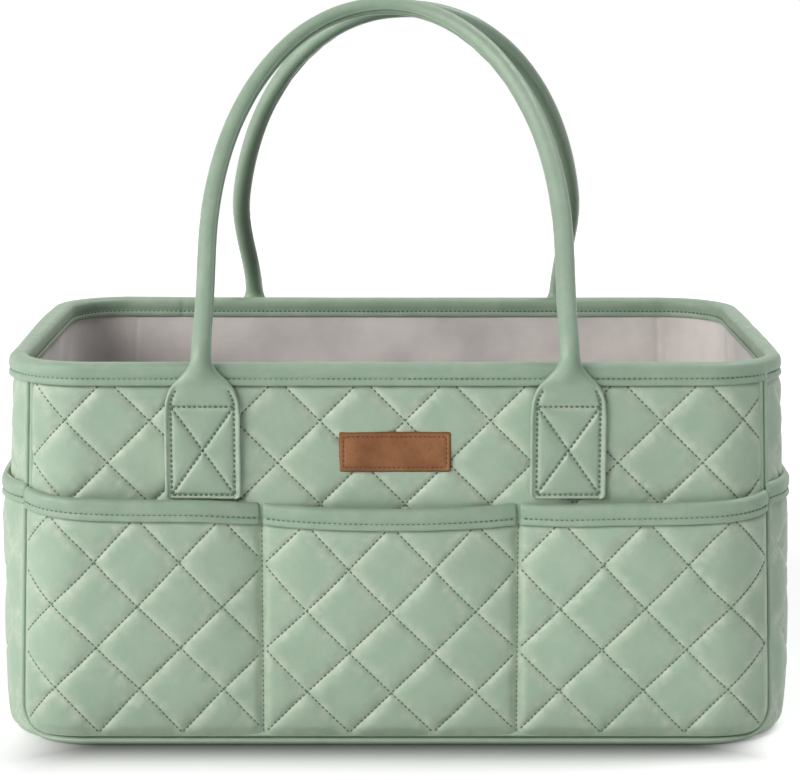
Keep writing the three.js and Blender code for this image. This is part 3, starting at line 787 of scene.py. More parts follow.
def mix_materials(settings):
    """Makes every material, from the settings' colours and its own."""
    sage, pale, deep, trim = settings.leather, settings.leather_pale, settings.leather_deep, settings.binding
    recipes = {
        "leather": ("polyurethane_nubuck_quilted", leather, sage, pale, deep),
        "binding": ("polyurethane_nubuck_folded", leather, trim, pale, deep),
        # The handles' last colour is the painted shade on their tubes.
        "sleeve": ("polyurethane_nubuck_drawn", leather, trim, pale, deep, "#68866c"),
        "thread": ("polyester_thread_spun", spun, settings.thread, "#55745a"),
        "tan_thread": ("waxed_thread_spun", spun, "#5f3a22", "#432614"),
        "patch": ("split_cowhide_waxed", suede, settings.patch, "#b2835a", "#70462a"),
        "lining": ("polyester_lining_woven", woven, settings.lining, "#cdc7c5", 0.7),
        "divider": ("polyester_felt_woven", woven, "#aaa4a6", "#8b8588", 0.9, 0.2, 0.12),
        "grey_thread": ("polyester_grey_thread_spun", spun, "#8a8488", "#6a6468"),
        "hook": ("nylon_hook_tape_moulded", tape, "#c9c4c0", "#8f8a88", 1.3),
        "loop": ("nylon_loop_tape_knitted", tape, "#c4bfbd", "#9b9594", 0.9),
        "board": ("grey_board_pressed", board, "#c9c9c4", "#a5a5a0"),
        "cord": ("cotton_cord_braided", woven, "#d9d4c8", "#b5ae9e", 1.1),
        "floor": ("paper_sweep_matt", paper),
    }
    for key, (name, recipe, *values) in recipes.items():
        values = [linear(v) if isinstance(v, str) else v for v in values]
        values = [v if isinstance(v, float) else tuple(v) for v in values]
        material = bpy.data.materials.new(name)
        material.use_nodes = True
        tree = material.node_tree
        place = add_node(tree, "TexCoord", out="Object")
        set_inputs(tree, tree.nodes["Principled BSDF"], recipe(tree, place, *values))
        MATERIALS[key] = material


# Long panels

# How far a panel's sewn lines lie inside the tub's outside, how much further they lie behind a pocket, and
# how deep a binding presses. How far a sewn-down pocket sheet lies off the tub's outside, and how thick it is
PANEL_SUNK = 0.9
PUSHED_IN = 1.2
BAND_PRESS = 0.8
POCKET_OFF = 0.5
POCKET_SHEET = 1.3


def slope_normals(place, u, v):
    """Outward normals of a surface given by place(u, v), which takes unclamped places."""
    step = 0.4
    du = place(u + step, v) - place(u - step, v)
    dv = place(u, v + step) - place(u, v - step)
    return unit(np.cross(du, dv))


def build_wall_panel(back, settings):
    """The front or back panel, with its quilting fine where it shows and coarse behind the pockets."""
    side, seed = ("back", 40) if back else ("front", 10)
    crossing = UPPER_CROSSING
    reach = float(seam_run(SEAM_FOOT))
    split = crossing[1] - 50 * PITCH
    us = ticks(-reach, reach, crossing[0], PITCH)
    low = ticks(SEAM_FOOT, split, crossing[1], 4 * PITCH)
    vs = np.concatenate([low[:-1], ticks(split, WALL_TOP, crossing[1], PITCH)])
    u, v = np.meshgrid(us, vs)
    limit = run_to(outline_x(v), v)
    along = np.clip(u, -limit, limit)
    normals = slope_normals(wall, along, v)
    depth = outline_depth(along, v)
    lip = RIM - BAND + 1 - v
    height = quilt(along, v, crossing, seed, settings.puff_depth / MM) * smooth(depth, 0, 7) * under_band(lip)
    behind = PUSHED_IN * smooth(FRONT_POCKET_TOP - 4 - v, 0, 9)
    offset = -PANEL_SUNK + height - edge_roll(np.maximum(depth, 0)) - behind - BAND_PRESS * band_groove(lip)
    outer = turned(wall(along, v) + normals * offset[..., None], back)
    inner = turned(wall(along, v) - normals * QUILT, back)
    grid = Grid(us, vs, outer, turned(normals, back))
    share = seam_share(along, v, crossing, depth)
    add_sheet(f"quilted_{side}", f"{side}_panel", grid, inner, crossing, share)
    shown = lambda a, z: (outline_depth(a, z) > 3) & (z > FRONT_POCKET_TOP - 6) & (z < RIM - BAND - 0.5)
    add_thread(f"quilting_thread_{side}", quilting_runs(grid, crossing, shown), "caddy")


def pocket_top(along, limit):
    """Height of a long pocket sheet's top edge. It sags in the middle pocket, rises at both ends and stands
    higher on the left."""
    middle = np.clip(1 - ((along - POCKET_MIDDLE) / POCKET_SEAM) ** 2, 0, 1)
    higher = 2.8 * smooth(-along, 55, 105) + 1.1 * smooth(along, 75, 115)
    return FRONT_POCKET_TOP + 0.4 + 3.4 * np.abs(along / limit) ** 8 - 1.6 * middle + higher


def pattern_rise(along, v):
    """How far the pocket's quilting is pulled up out of its plain grid, mostly in the outer pockets and under
    the binding."""
    outer = smooth(np.abs(along), 20, 110) * np.where(along < 0, 1.35, 0.85)
    return (2.2 * smooth(v, 70, 110) + outer * (1 + 0.02 * v)) * smooth(v, SEAM_FOOT, 26)


def pocket_swell(along, z, limit, top, settings):
    """How far the pocket stands off the wall between the lines that hold it."""
    from_middle = np.abs(along - POCKET_MIDDLE)
    seam = POCKET_SEAM + POCKET_MIDDLE * np.sign(along)
    t = np.abs(np.abs(along) - (limit + seam) / 2) / ((limit - seam) / 2)
    t = np.where(from_middle < POCKET_SEAM, from_middle / POCKET_SEAM, t)
    rise = np.sin(np.clip((z - SEAM_FOOT) / (top - SEAM_FOOT), 0, 1) * math.pi / 2)
    return settings.pocket_swell / MM * (1 - np.clip(t, 0, 1) ** 2.6) * rise


def build_long_pocket(back, settings):
    """A long side's pocket sheet, its folded binding and its thread."""
    side, seed = ("back", 80) if back else ("front", 60)
    crossing = POCKET_CROSSING
    reach = float(seam_run(SEAM_FOOT))
    marks = (-reach, *POCKET_SEAMS, reach)
    parts = [ticks(low, high, crossing[0], PITCH) for low, high in zip(marks[:-1], marks[1:])]
    us = np.concatenate([parts[0][:-1], parts[1][:-1], parts[2]])
    vs = ticks(SEAM_FOOT, FRONT_POCKET_TOP + 7, crossing[1], PITCH)
    u, v = np.meshgrid(us, vs)
    limit = run_to(outline_x(v), v)
    along = np.clip(u, -limit, limit)
    top = pocket_top(along, seam_run(v))
    z = np.minimum(v + pattern_rise(along, v), top - 1.2)

    def place(a, b):
        swell = pocket_swell(a, b, seam_run(b), pocket_top(a, seam_run(b)), settings)
        return wall(a, b, POCKET_OFF + swell)

    from_seam = lambda a: np.abs(np.abs(a - POCKET_MIDDLE) - POCKET_SEAM)
    normals = slope_normals(place, along, z)
    middle = place(along, z)
    depth = outline_depth(along, z)
    to_seam = from_seam(along)
    lip = top - BAND + 1 - z
    height = quilt(along, v, crossing, seed, settings.puff_depth / MM)
    height *= smooth(depth, 0, 7) * (0.3 + 0.7 * smooth(to_seam, 0, 5)) * under_band(lip)
    crease = 1.5 * np.exp(-to_seam / 1.5)
    offset = POCKET_OFF + height - crease - edge_roll(np.maximum(depth, 0)) - BAND_PRESS * band_groove(lip)
    outer = turned(middle + normals * offset[..., None], back)
    inner = turned(middle - normals * (POCKET_SHEET + crease[..., None] * 0.4), back)
    grid = Grid(us, vs, outer, turned(normals, back))
    share = seam_share(along, v, crossing, np.minimum(depth, to_seam))
    add_sheet(f"quilted_pocket_{side}", f"{side}_pocket_panel", grid, inner, crossing, share)

    def shown(a, b):
        at = b + pattern_rise(a, b)
        below = (b < FRONT_POCKET_TOP) & (at < pocket_top(a, seam_run(at)) - BAND - 0.5)
        return (outline_depth(a, at) > 3) & below & (from_seam(a) > 1.5)

    rows = np.arange(SEAM_FOOT + 2.5, FRONT_POCKET_TOP - BAND - 1.5, 0.5)
    runs = quilting_runs(grid, crossing, shown) + [grid.at(at + 0 * rows, rows) for at in POCKET_SEAMS]
    add_thread(f"pocket_thread_{side}", runs, "caddy")

    # The binding follows the sheet's top edge, in three lengths from seam to seam.
    end = float(seam_run(FRONT_POCKET_TOP)) - 0.6
    path = np.arange(-end, end, BAND_STEP)
    height = pocket_top(path, end + 0.6)
    middle = place(path, height)
    out = turn_out(place(path + 0.4, height) - place(path - 0.4, height))
    left, right = POCKET_SEAMS
    strips = []
    for low, high in ((-end, left - 0.3), (left + 0.2, right - 0.2), (right + 0.3, end)):
        inside = (path >= low) & (path <= high)
        strips.append((middle[inside], out[inside]))
    build_band(f"pocket_binding_{side}", f"{side}_pocket_binding", strips, POCKET_PROFILE, back, seed)


# Folded bindings: (outward, height) round a strip's section, from its outer lip over the top to inside

POCKET_PROFILE = [
    (1.6, -10.25), (2.3, -10.4), (2.65, -9.9), (2.65, -9.0), (2.35, -8.1), (1.8, -7.3), (2.3, -6.5),
    (2.6, -5.4), (2.6, -3.8), (2.3, -1.7), (1.3, -0.4), (0, 0), (-1.2, -0.4), (-1.8, -1.8), (-1.9, -6),
    (-1.8, -10.2), (-1.1, -10.2), (-1.1, -2.2), (0, -1.2), (1.2, -2.4), (1.2, -7.0),
]
RIM_PROFILE = [
    (3.8, -10.25), (4.55, -10.4), (4.9, -9.9), (4.9, -9.0), (4.6, -8.1), (4.05, -7.3), (4.55, -6.5),
    (4.85, -5.4), (4.85, -3.8), (4.5, -1.9), (3.4, -0.6), (1.6, 0), (-1.6, 0), (-3.3, -0.6), (-4.45, -1.9),
    (-4.7, -4.4), (-4.15, -7.2), (-4.6, -8.4), (-4.6, -9.6), (-4.3, -10.3), (-3.6, -10.1), (-3.6, -2.6),
    (-1.6, -1.2), (1.6, -1.2), (3.4, -2.6),
]


def closed_profile(knots, count):
    """Even points round a smooth closed section."""
    knots = np.asarray(knots, float)
    looped = np.vstack([knots[-2:], knots, knots[:3]])
    steps = 1200
    t = np.linspace(0, len(looped) - 1, steps)
    inside = spline(looped, steps)[(t >= 2) & (t <= len(knots) + 2)]
    return resample(inside, run_along(inside)[-1] / count)[:-1]


def build_band(name, node, strips, profile, back, seed):
    """Folded strips of (places, outward directions) along a sheet's edge, with closed ends, lips and a line
    of stitches in their groove."""
    section = closed_profile(profile, 84)
    o, h = section[:, 0], section[:, 1]
    groove = min(profile, key=lambda k: abs(k[1] + STITCH_DROP) + (0 if k[0] > 1.2 else 9))
    points, faces, runs = [], [], []
    for middle, out in strips:
        run = np.arange(len(middle))[:, None] * BAND_STEP
        from_end = np.minimum(run, run[::-1])
        rounded = edge_roll(from_end, 1.0)
        soft = 0.14 * noise(run, o * 5 + h * 2, 9, seed + 5) + 0.12 * noise(run, 0.0, 21, seed + 6)
        drawn = 0.22 * np.exp(-from_end / 5) * noise(run, h * 3, 3.5, seed + 7)
        wide = (o + soft + drawn) * (1 - 0.3 * rounded - 0.25 * np.exp(-from_end / 4))
        tall = (h + 5.2) * (1 - 0.1 * rounded) - 5.2
        rings = middle[:, None] + out[:, None] * wide[..., None] + UP * tall[..., None]
        strip, sides = loft(turned(rings, back))
        faces += [f + sum(map(len, points)) for f in sides]
        points.append(strip)
        kept = from_end[:, 0] > 1.2
        line = middle + out * groove[0] + UP * groove[1]
        runs.append((turned(line[kept], back), turned(out[kept], back)))
    settle(make_object(name, np.concatenate(points), faces, "binding"), "caddy", [node])
    add_thread(f"{name}_thread", runs, "caddy", "binding_leather", **BAND_STITCH)


# The gusset round the sides and the bottom

SIDE_WIDTH = 224
BOTTOM_WIDTH = 236
# Where the seam's path turns under the foot, and the farthest that the gusset bulges from that path
FOOT_TURN = float(seam_x(SEAM_FOOT)) - SEAM_RADIUS
FARTHEST = 40.0
# How high the puffs of the sides and of the bottom are, as shares of the long panels'
SIDE_PUFFS = 0.8
BOTTOM_PUFFS = 0.7
# How far a side's sewn lines lie inside the tub's outside, how much further they lie behind the pocket, and
# how deep the rim binding presses
SIDE_SUNK = 0.95
SIDE_PUSHED_IN = 1.1
SIDE_BAND_PRESS = 0.6


def gusset_outline():
    """The seam's path in front view, from the rim down round the foot corner to where the side's gusset is
    joined to the bottom's, with outward normals."""
    side = [(float(seam_x(z)), z) for z in np.arange(WALL_TOP, SEAM_FOOT + SEAM_RADIUS, -PITCH)]
    heights = SEAM_FOOT + SEAM_RADIUS * (1 - np.sin(np.linspace(0, math.pi / 2, 40)))
    corner = [(float(outline_x(z)), z) for z in heights]
    bottom = [(x, SEAM_FOOT) for x in np.linspace(FOOT_TURN, GUSSET_JOINT, 60)[1:]]
    path = np.array(side + corner + bottom)
    run = run_along(path)[-1]
    path = resample(path, run / (even(int(run / PITCH) + 1) - 1))
    t = np.gradient(path, axis=0)
    return path, unit(np.stack([-t[:, 1], t[:, 0]], -1))


def inside_tub(x, y, z):
    """Whether places lie inside the tub's outside."""
    dx = np.maximum(np.abs(x) - half_x(z) + CORNER, 0)
    dy = np.maximum(np.abs(y) - half_y(z) + CORNER, 0)
    return (z >= 0) & (np.hypot(dx, dy) <= CORNER)


def gusset_base(path, out, columns):
    """The tub's surface between the front and back seams, one row of even points for each place on the path,
    found by halving the way outward."""
    x, z = path[:, 0], path[:, 1]
    past = np.maximum(np.abs(x) - (half_x(z) - CORNER), 0)
    end = half_y(z) - CORNER + np.sqrt(np.maximum(CORNER**2 - past**2, 0))
    y = end[:, None] * np.sin(np.linspace(-math.pi / 2, math.pi / 2, 241))
    moved = lambda reach: (x[:, None] + out[:, :1] * reach, y, z[:, None] + out[:, 1:] * reach)
    low, high = np.zeros_like(y), np.full_like(y, FARTHEST)
    for _ in range(26):
        middle = (low + high) / 2
        fits = inside_tub(*moved(middle))
        low, high = np.where(fits, middle, low), np.where(fits, high, middle)
    rows = []
    for points in np.stack(moved(low), -1):
        run = run_along(points)
        at = np.linspace(0, run[-1], columns)
        rows.append(np.stack([np.interp(at, run, points[:, k]) for k in range(3)], -1))
    return np.array(rows)


def gusset_grid(path, out, width, pitch):
    """A length of gusset about so wide: its places, points and outward normals."""
    columns = even(int(width / pitch))
    points = gusset_base(path, out, columns)
    normals = unit(np.cross(np.gradient(points, axis=1), np.gradient(points, axis=0)))
    row = len(path) // 3
    normals *= np.sign(normals[row, columns // 2, ::2] @ out[row])
    us = (np.arange(columns) - columns // 2) * pitch
    return Grid(us, np.arange(len(path)) * pitch, points, normals)


def build_side(mirrored, settings):
    """A side's length of gusset and its thread, with the pocket over it. The left side mirrors the right."""
    side, seed = ("left", 120) if mirrored else ("right", 140)
    flip = np.array([-1.0, 1.0, 1.0]) if mirrored else np.ones(3)
    path, out = gusset_outline()
    base = gusset_grid(path, out, SIDE_WIDTH, PITCH)
    us, vs = base.us, base.vs
    u, v = np.meshgrid(us, vs)
    crossing = (0.0, 30 * PITCH)
    half = us[-1]
    depth = half - np.abs(u)
    lip = v - (WALL_TOP - RIM + BAND) - 0.5
    height = quilt(u, v, crossing, seed, settings.puff_depth / MM * SIDE_PUFFS)
    height *= smooth(depth, 3, 20) * under_band(lip)
    first = int(round((WALL_TOP - SIDE_POCKET_TOP) / PITCH))
    # The pocket ends under the foot, just past its corner.
    last = int(np.argmin(np.abs(path[:, 0] - FOOT_TURN + 2) + 99 * (path[:, 1] > 5)))
    hidden = smooth(v, vs[first] + 4, vs[first] + 14) * smooth(vs[last] - v, -2, 8)
    offset = -SIDE_SUNK + height - edge_roll(depth) - SIDE_PUSHED_IN * hidden
    offset -= SIDE_BAND_PRESS * band_groove(lip)
    outer = on_floor(base.points + base.normals * offset[..., None])
    inner = base.points - base.normals * QUILT
    grid = Grid(us, vs, outer * flip, base.normals * flip)
    share = seam_share(u, v, crossing, depth)
    add_sheet(f"gusset_{side}", f"{side}_side_panel", grid, inner * flip, crossing, share)
    above = lambda a, b: (np.abs(a) < half - 24) & (b > BAND - 1) & (b < vs[first] + 8)
    below = lambda a, b: (np.abs(a) < half - 3) & (b > vs[-1] - 12)
    runs = quilting_runs(grid, crossing, above) + quilting_runs(grid, crossing, below)
    add_thread(f"gusset_thread_{side}", runs, "caddy")
    chosen = slice(first, first + even(last - first) - 4)
    covered = Grid(us, vs[chosen], base.points[chosen], base.normals[chosen])
    build_side_pocket(mirrored, covered, flip, crossing, seed, settings)


def build_side_pocket(mirrored, base, flip, crossing, seed, settings):
    """A side pocket over the gusset's rows that it covers, closed under the foot, with binding and thread."""
    side = "left" if mirrored else "right"
    us, vs, half = base.us, base.vs, base.us[-1]
    u, v = np.meshgrid(us, vs)
    share = 1 - (v - vs[0]) / (vs[-1] - vs[0])
    rise = np.clip((share - 0.08) / 0.92, 0, 1) ** 0.9
    across = 1 - np.abs(u / half) ** 2.4
    edge = np.minimum(half - np.abs(u), vs[-1] - v)
    puffs = quilt(u, v, crossing, seed + 9, settings.puff_depth / MM * SIDE_PUFFS)
    puffs *= smooth(edge, 1, 14) * under_band(v - vs[0] - BAND + 1)
    # The left pocket stands fuller than the right one.
    slack, fuller = (0.0, 2.2) if mirrored else (0.2, 0.5)
    swell = (settings.side_swell / MM - slack) * rise + fuller * smooth(share, 0.5, 0.85)
    middle = POCKET_OFF + 0.4 * (1.0 - share) * across + swell * across
    outer = on_floor(base.points + base.normals * (middle + puffs - edge_roll(edge, 1.6))[..., None])
    inner = on_floor(base.points + base.normals * (middle - 1.5)[..., None])
    grid = Grid(us, vs, outer * flip, base.normals * flip)
    near = seam_share(u, v, crossing, edge)
    add_sheet(f"quilted_pocket_{side}", f"{side}_pocket_panel", grid, inner * flip, crossing, near)
    seen = lambda a, b: (np.abs(a) < half - 22) & (b > vs[0] + BAND) & (b < vs[-1] - 3)
    add_thread(f"pocket_thread_{side}", quilting_runs(grid, crossing, seen), "caddy")
    path = base.points[0] + base.normals[0] * (middle[0] - 0.6)[:, None]
    path = resample(path * flip, BAND_STEP)[:: -1 if mirrored else 1]
    strips = [(path, turn_out(np.gradient(path, axis=0)))]
    build_band(f"pocket_binding_{side}", f"{side}_pocket_binding", strips, POCKET_PROFILE, False, seed)


def build_bottom(settings):
    """The bottom length of gusset, between the two sides."""
    pitch = 2 * PITCH
    x = np.linspace(GUSSET_JOINT, -GUSSET_JOINT, even(int(2 * GUSSET_JOINT / pitch)))
    path = np.stack([x, np.full(len(x), SEAM_FOOT)], -1)
    base = gusset_grid(path, np.tile([0.0, -1.0], (len(x), 1)), BOTTOM_WIDTH, pitch)
    us, vs = base.us, base.vs
    u, v = np.meshgrid(us, vs)
    crossing = (0.0, vs[len(x) // 2])
    side_depth = us[-1] - np.abs(u)
    depth = np.minimum(side_depth, np.minimum(v, vs[-1] - v))
    height = quilt(u, v, crossing, 170, settings.puff_depth / MM * BOTTOM_PUFFS) * smooth(depth, 0, 7)
    offset = -PANEL_SUNK + height - edge_roll(side_depth)
    outer = on_floor(base.points + base.normals * offset[..., None])
    grid = Grid(us, vs, outer, base.normals)
    inner = base.points - base.normals * QUILT
    add_sheet("gusset_bottom", "bottom_panel", grid, inner, crossing, seam_share(u, v, crossing, depth), 0.4)
    seen = lambda a, b: (np.abs(a) < us[-1] - 3) & (b > 3) & (b < vs[-1] - 3)
    add_thread("gusset_thread_bottom", quilting_runs(grid, crossing, seen), "caddy", **LONG_STITCH)


# The turned seams that join the long panels to the gusset: (towards the panel, outward) round the section

SEAM_PROFILE = [
    (3.4, -1.9), (2.7, -0.75), (1.9, -0.05), (1.2, 0.1), (0.7, -0.15), (0.42, -1.1), (0.3, -2.6),
    (-0.3, -2.6), (-0.42, -1.1), (-0.75, 0.05), (-1.3, 0.45), (-2.1, 0.45), (-2.9, 0.0), (-3.6, -0.8),
    (-4.3, -1.9), (-3.0, -3.0), (0, -3.2), (2.6, -3.0),
]
SEAM_STEP = 1.3


def build_seam(back):
    """The rolled edges of a long panel and the gusset, with the sewn groove between them."""
    round_foot = SEAM_FOOT + SEAM_RADIUS * (1 - np.sin(np.linspace(0, math.pi / 2, 24)))
    z = np.concatenate([np.arange(WALL_TOP - 2, SEAM_FOOT + SEAM_RADIUS, -2.0), round_foot])
    right = np.stack([run_to(outline_x(z), z), z], -1)
    path = resample(np.vstack([right, (right * [-1, 1])[::-1]]), SEAM_STEP)
    normals = slope_normals(wall, path[:, 0], path[:, 1])
    points = wall(path[:, 0], path[:, 1])
    inward = unit(np.cross(normals, unit(np.gradient(points, axis=0))))
    inward *= np.sign((inward * (UP * RIM / 2 - points)).sum(1, keepdims=True))
    section = closed_profile(SEAM_PROFILE, 44)
    s, n = section[:, 0], section[:, 1]
    run = np.arange(len(path))[:, None] * SEAM_STEP
    # Below the pockets' tops the seam takes in their sheets and stands further out.
    tops = np.where(s > 0, FRONT_POCKET_TOP + 1, SIDE_POCKET_TOP - 2)
    lift = SEAM_LIFT * smooth(tops - path[:, 1:], 0, 3) * (n > -2.2)
    n = n + lift + 0.1 * noise(run, 4 * np.sign(s), 7, 180 + back)
    rings = points[:, None] + inward[:, None] * s[:, None] + normals[:, None] * n[..., None]
    side = "back" if back else "front"
    made = loft(turned(on_floor(rings), back))
    settle(make_object(f"turned_seam_{side}", *made, "leather"), "caddy")


# Rim binding and lining

# Places round the rim, and how far apart they are. The strip's ends meet at a share of the way round
RIM_COUNT = 900
RIM_STEP = 1.268
RIM_JOINT = 0.605
# How far inside the tub's outside the strip is centred, and where its stitches lie from there
RIM_INSET = 2.95
RIM_GROOVES = (4.05, -4.17)
# Where the binding stands full and where it sits close: the place round the rim, and over how far
RIM_FULL = (812, 90)
RIM_CLOSE = (182, 45)


def rim_drift(place):
    """How the binding strays, outward and up: it sits close at the right front corner and stands full along
    the left."""
    full, close = (bell(place - at, over) for at, over in (RIM_FULL, RIM_CLOSE))
    return 1.5 * full - 1.6 * close, 1.2 * full


def build_rim():
    """The binding that is folded over the top edge, one closed strip, with stitches on each face."""
    place = np.arange(RIM_COUNT) * RIM_STEP
    wide, lift = rim_drift(place)
    joint = 0.5 * bell(place - RIM_JOINT * RIM_COUNT * RIM_STEP, 1.1)
    rings = []
    for o, h in closed_profile(RIM_PROFILE, 104):
        soft = 0.16 * noise(place, o * 4 + h * 2, 11, 201) + 0.2 * noise(place, 0.0, 37, 202)
        flat, out = ring(RIM + h, -RIM_INSET, RIM_COUNT)
        outward = o + (soft - joint) * np.sign(o) + wide * smooth(o, -1.5, 1.5)
        rings.append(flat + out * outward[:, None] + UP * (0.25 * soft + lift)[:, None])
    made = loft(np.array(rings), closed=True)
    settle(make_object("rim_band", *made, "binding"), "caddy", ["rim_binding"])
    flat, out = ring(RIM - STITCH_DROP, -RIM_INSET, RIM_COUNT)
    flat += UP * lift[:, None]
    runs = [(flat + out * (o + wide * (o > 0))[:, None], out * np.sign(o)) for o in RIM_GROOVES]
    add_thread("rim_band_thread", runs, "caddy", "binding_leather", **BAND_STITCH)


LINING_COUNT = 880
LINING_INSET = 5.15
LINING_THICKNESS = 0.8
BASE_LINING_FOOT = 5.6
BASE_LINING_TOP = 6.7


def build_lining():
    """The fabric lining: walls with a sewn line at each corner and soft folds, and a base."""
    heights = np.concatenate([np.linspace(RIM - 3, 20, 84), np.linspace(19, 6.4, 10)])
    place = np.arange(LINING_COUNT) * AROUND / LINING_COUNT
    corners = TURNS[1:-1]
    groove = 0.6 * bell(np.min(np.abs(place[:, None] - corners), axis=1), 0.9)
    fold = 0.5 * bell(np.min(np.abs(place[:, None] - (corners + 9)), axis=1), 5)
    rings = []
    for thick, order in ((0.0, 1), (LINING_THICKNESS, -1)):
        for z in heights[::order]:
            down = WALL_TOP - z
            inward = LINING_INSET + thick + max(14 - z, 0) ** 2 * 0.09
            wave = (0.4 + 0.4 * noise(place, z, 26, 211)) * smooth(down, 0, 22) + fold * smooth(down, 0, 60)
            flat, out = ring(z, -inward, LINING_COUNT)
            rings.append(flat + out * (groove - wave - 0.2)[:, None])
    piece = make_object("lining_walls", *loft(np.array(rings), closed=True), "lining")
    settle(piece, "caddy", ["front_lining", "back_lining", "left_lining", "right_lining"])

    half_long, half_short = HALF_WIDTH - 2.5, HALF_DEPTH - 6.5
    xs = np.linspace(-half_long, half_long, even(173))
    ys = np.linspace(-half_short, half_short, even(113))
    x, y = np.meshgrid(xs, ys)
    radius = CORNER - 15
    past = np.maximum(np.abs(y) - (half_short - radius), 0)
    limit = half_long - radius + np.sqrt(np.maximum(radius**2 - past**2, 0))
    x = np.clip(x, -limit, limit)
    low = 0.5 * noise(x, y, 30, 221) + 0.15 * noise(x, y, 9, 222)
    outer = np.stack([x, y, BASE_LINING_TOP + low * 0.5], -1)
    inner = np.stack([x, y, 0 * x + BASE_LINING_FOOT], -1)
    sheet = closed_sheet(outer, inner, leans(x, y, (0, 0)))
    settle(make_object("lining_base", *sheet, "lining"), "caddy", ["base_lining"])


# Handles

# The front and back handles' arches: half their span, how far their legs run straight, their roundness, their
# reach, and how far up the legs come to their span
ARCHES = ((87.0, 60.0, 2.06, 204.6, 38.0), (94.3, 30.0, 2.1, 203.3, 75.0))
HANDLE_STEP = 1.3
HANDLE_SIDES = 104
# How far from the tub's middle the top of an arch stays
TOP_FROM_MIDDLE = 5.1
# The cord, and the height from which it fills the sleeve
CORD_RADIUS = 2.9
CORD_FROM = 204.0
# Where a tab's rows change their spacing: past its folded foot, where its neck starts and at its top
FOOT_DONE, NECK_FROM, NECK_TOP = 127.4, 170, 193

# A tab and its neck: height, outward place of the middle, half width, half thickness
TAB_SHAPE = np.array([
    (TAB_FOOT, 121.7, 16.4, 0.9), (125.1, 121.75, 17.5, 1.1), (125.8, 121.8, 18.05, 1.2),
    (126.8, 121.9, 18.25, 1.25), (135, 122.0, 18.25, 1.2), (150, 122.0, 18.25, 1.2), (165, 122.2, 18.2, 1.2),
    (172, 122.7, 17.6, 1.25), (174, 123.0, 17.0, 1.35), (176.5, 123.3, 16.2, 1.6), (179, 123.6, 15.1, 1.95),
    (181, 123.9, 13.6, 2.35), (183, 124.4, 11.6, 2.9), (185, 125.0, 9.4, 3.5), (187, 125.6, 7.5, 4.0),
    (190, 126.5, 5.3, 4.5), (193, 126.7, 4.85, 4.75),
])


def handle_rows(back):
    """Centres (x, y, z) and half sizes of a handle's sections, from the left tab to the right tab, and the
    direction that its arch faces."""
    span, leg_top, power, reach, spread = ARCHES[back]
    lean = math.asin((HINGE[0] - TOP_FROM_MIDDLE) / reach)
    half = HANDLE_SPAN / 2
    spans = ((TAB_FOOT, FOOT_DONE, 12), (FOOT_DONE, NECK_FROM, 84), (NECK_FROM, NECK_TOP, 34))
    z = np.concatenate([np.linspace(*span)[:-1] for span in spans] + [[NECK_TOP]])
    y, a, b = (np.interp(z, TAB_SHAPE[:, 0], TAB_SHAPE[:, k]) for k in (1, 2, 3))
    tab = np.stack([0 * z - half, -y, z, a, b], -1)
    leg = np.linspace(7, leg_top, 14)[:-1]
    angle = np.linspace(math.pi, math.pi / 2, 90)
    share = np.concatenate([1 + 0 * leg, np.abs(np.cos(angle)) ** (2 / power)])
    up = np.concatenate([leg, leg_top + np.sin(angle) ** (2 / power) * (reach - leg_top)])
    across = -share * (half + (span - half) * smooth(up, 0, spread))
    size = np.full(len(up), HANDLE_RADIUS)
    arch = np.stack([across, up * math.sin(lean) - HINGE[0], up * math.cos(lean) + HINGE[1], size, size], -1)
    rows = np.vstack([tab[:-1], resample(np.vstack([tab[-1:], arch]), HANDLE_STEP)])
    rows = np.vstack([rows, (rows * np.array([-1.0, 1, 1, 1, 1]))[-2::-1]])
    # The sleeve thins from the neck up, and the left leg more than the right one.
    above = np.maximum(rows[:, 2] - HINGE[1], 0)
    toward_top = smooth(above, 60, 150)
    slim = np.where(rows[:, 0] < 0, 0.45, 0.1) * (1 - toward_top) + 0.45 * toward_top
    rows[:, 3:] -= (slim * smooth(above, 2, 26))[:, None]
    # The bends are calmed, but not on the tabs.
    kernel = np.hanning(11) / np.hanning(11).sum()
    place = np.minimum(np.arange(len(rows)), np.arange(len(rows))[::-1])
    keep = smooth(place, 100, 118)[:, None]
    for _ in range(3):
        calm = np.stack([np.convolve(np.pad(rows[:, k], 5, "edge"), kernel, "valid") for k in range(5)], -1)
        rows = rows * (1 - keep) + calm * keep
    return rows, np.array([0, -math.cos(lean), math.sin(lean)])


def handle_path(back):
    """Centres, outward and sideways directions, half sizes and squareness of a handle's sections."""
    rows, face = handle_rows(back)
    centre = rows[:, :3]
    t = unit(np.gradient(centre, axis=0))
    share = smooth(centre[:, 2], 178, 206)[:, None]
    thick = unit(FORWARD * (1 - share) + face * share)
    thick = unit(thick - t * (thick * t).sum(1, keepdims=True))
    square = 2 + 8 * (1 - smooth(centre[:, 2], 168, 186))
    return centre, thick, unit(np.cross(thick, t)), rows[:, 3:], square


def squared_round(a, b, square):
    """Points round a superellipse, three in four of them on its outer face."""
    angle = np.linspace(0, 2 * math.pi, 481)
    power = lambda v: np.sign(v) * np.abs(v) ** (2 / square)
    outline = np.stack([a * power(np.cos(angle)), b * power(np.sin(angle))], -1)
    run = run_along(outline)
    outer = HANDLE_SIDES * 3 // 4
    inner = HANDLE_SIDES - outer
    at = np.concatenate([np.arange(outer) / outer, 1 + np.arange(inner) / inner]) * run[-1] / 2
    return np.stack([np.interp(at, run, outline[:, k]) for k in (0, 1)], -1)


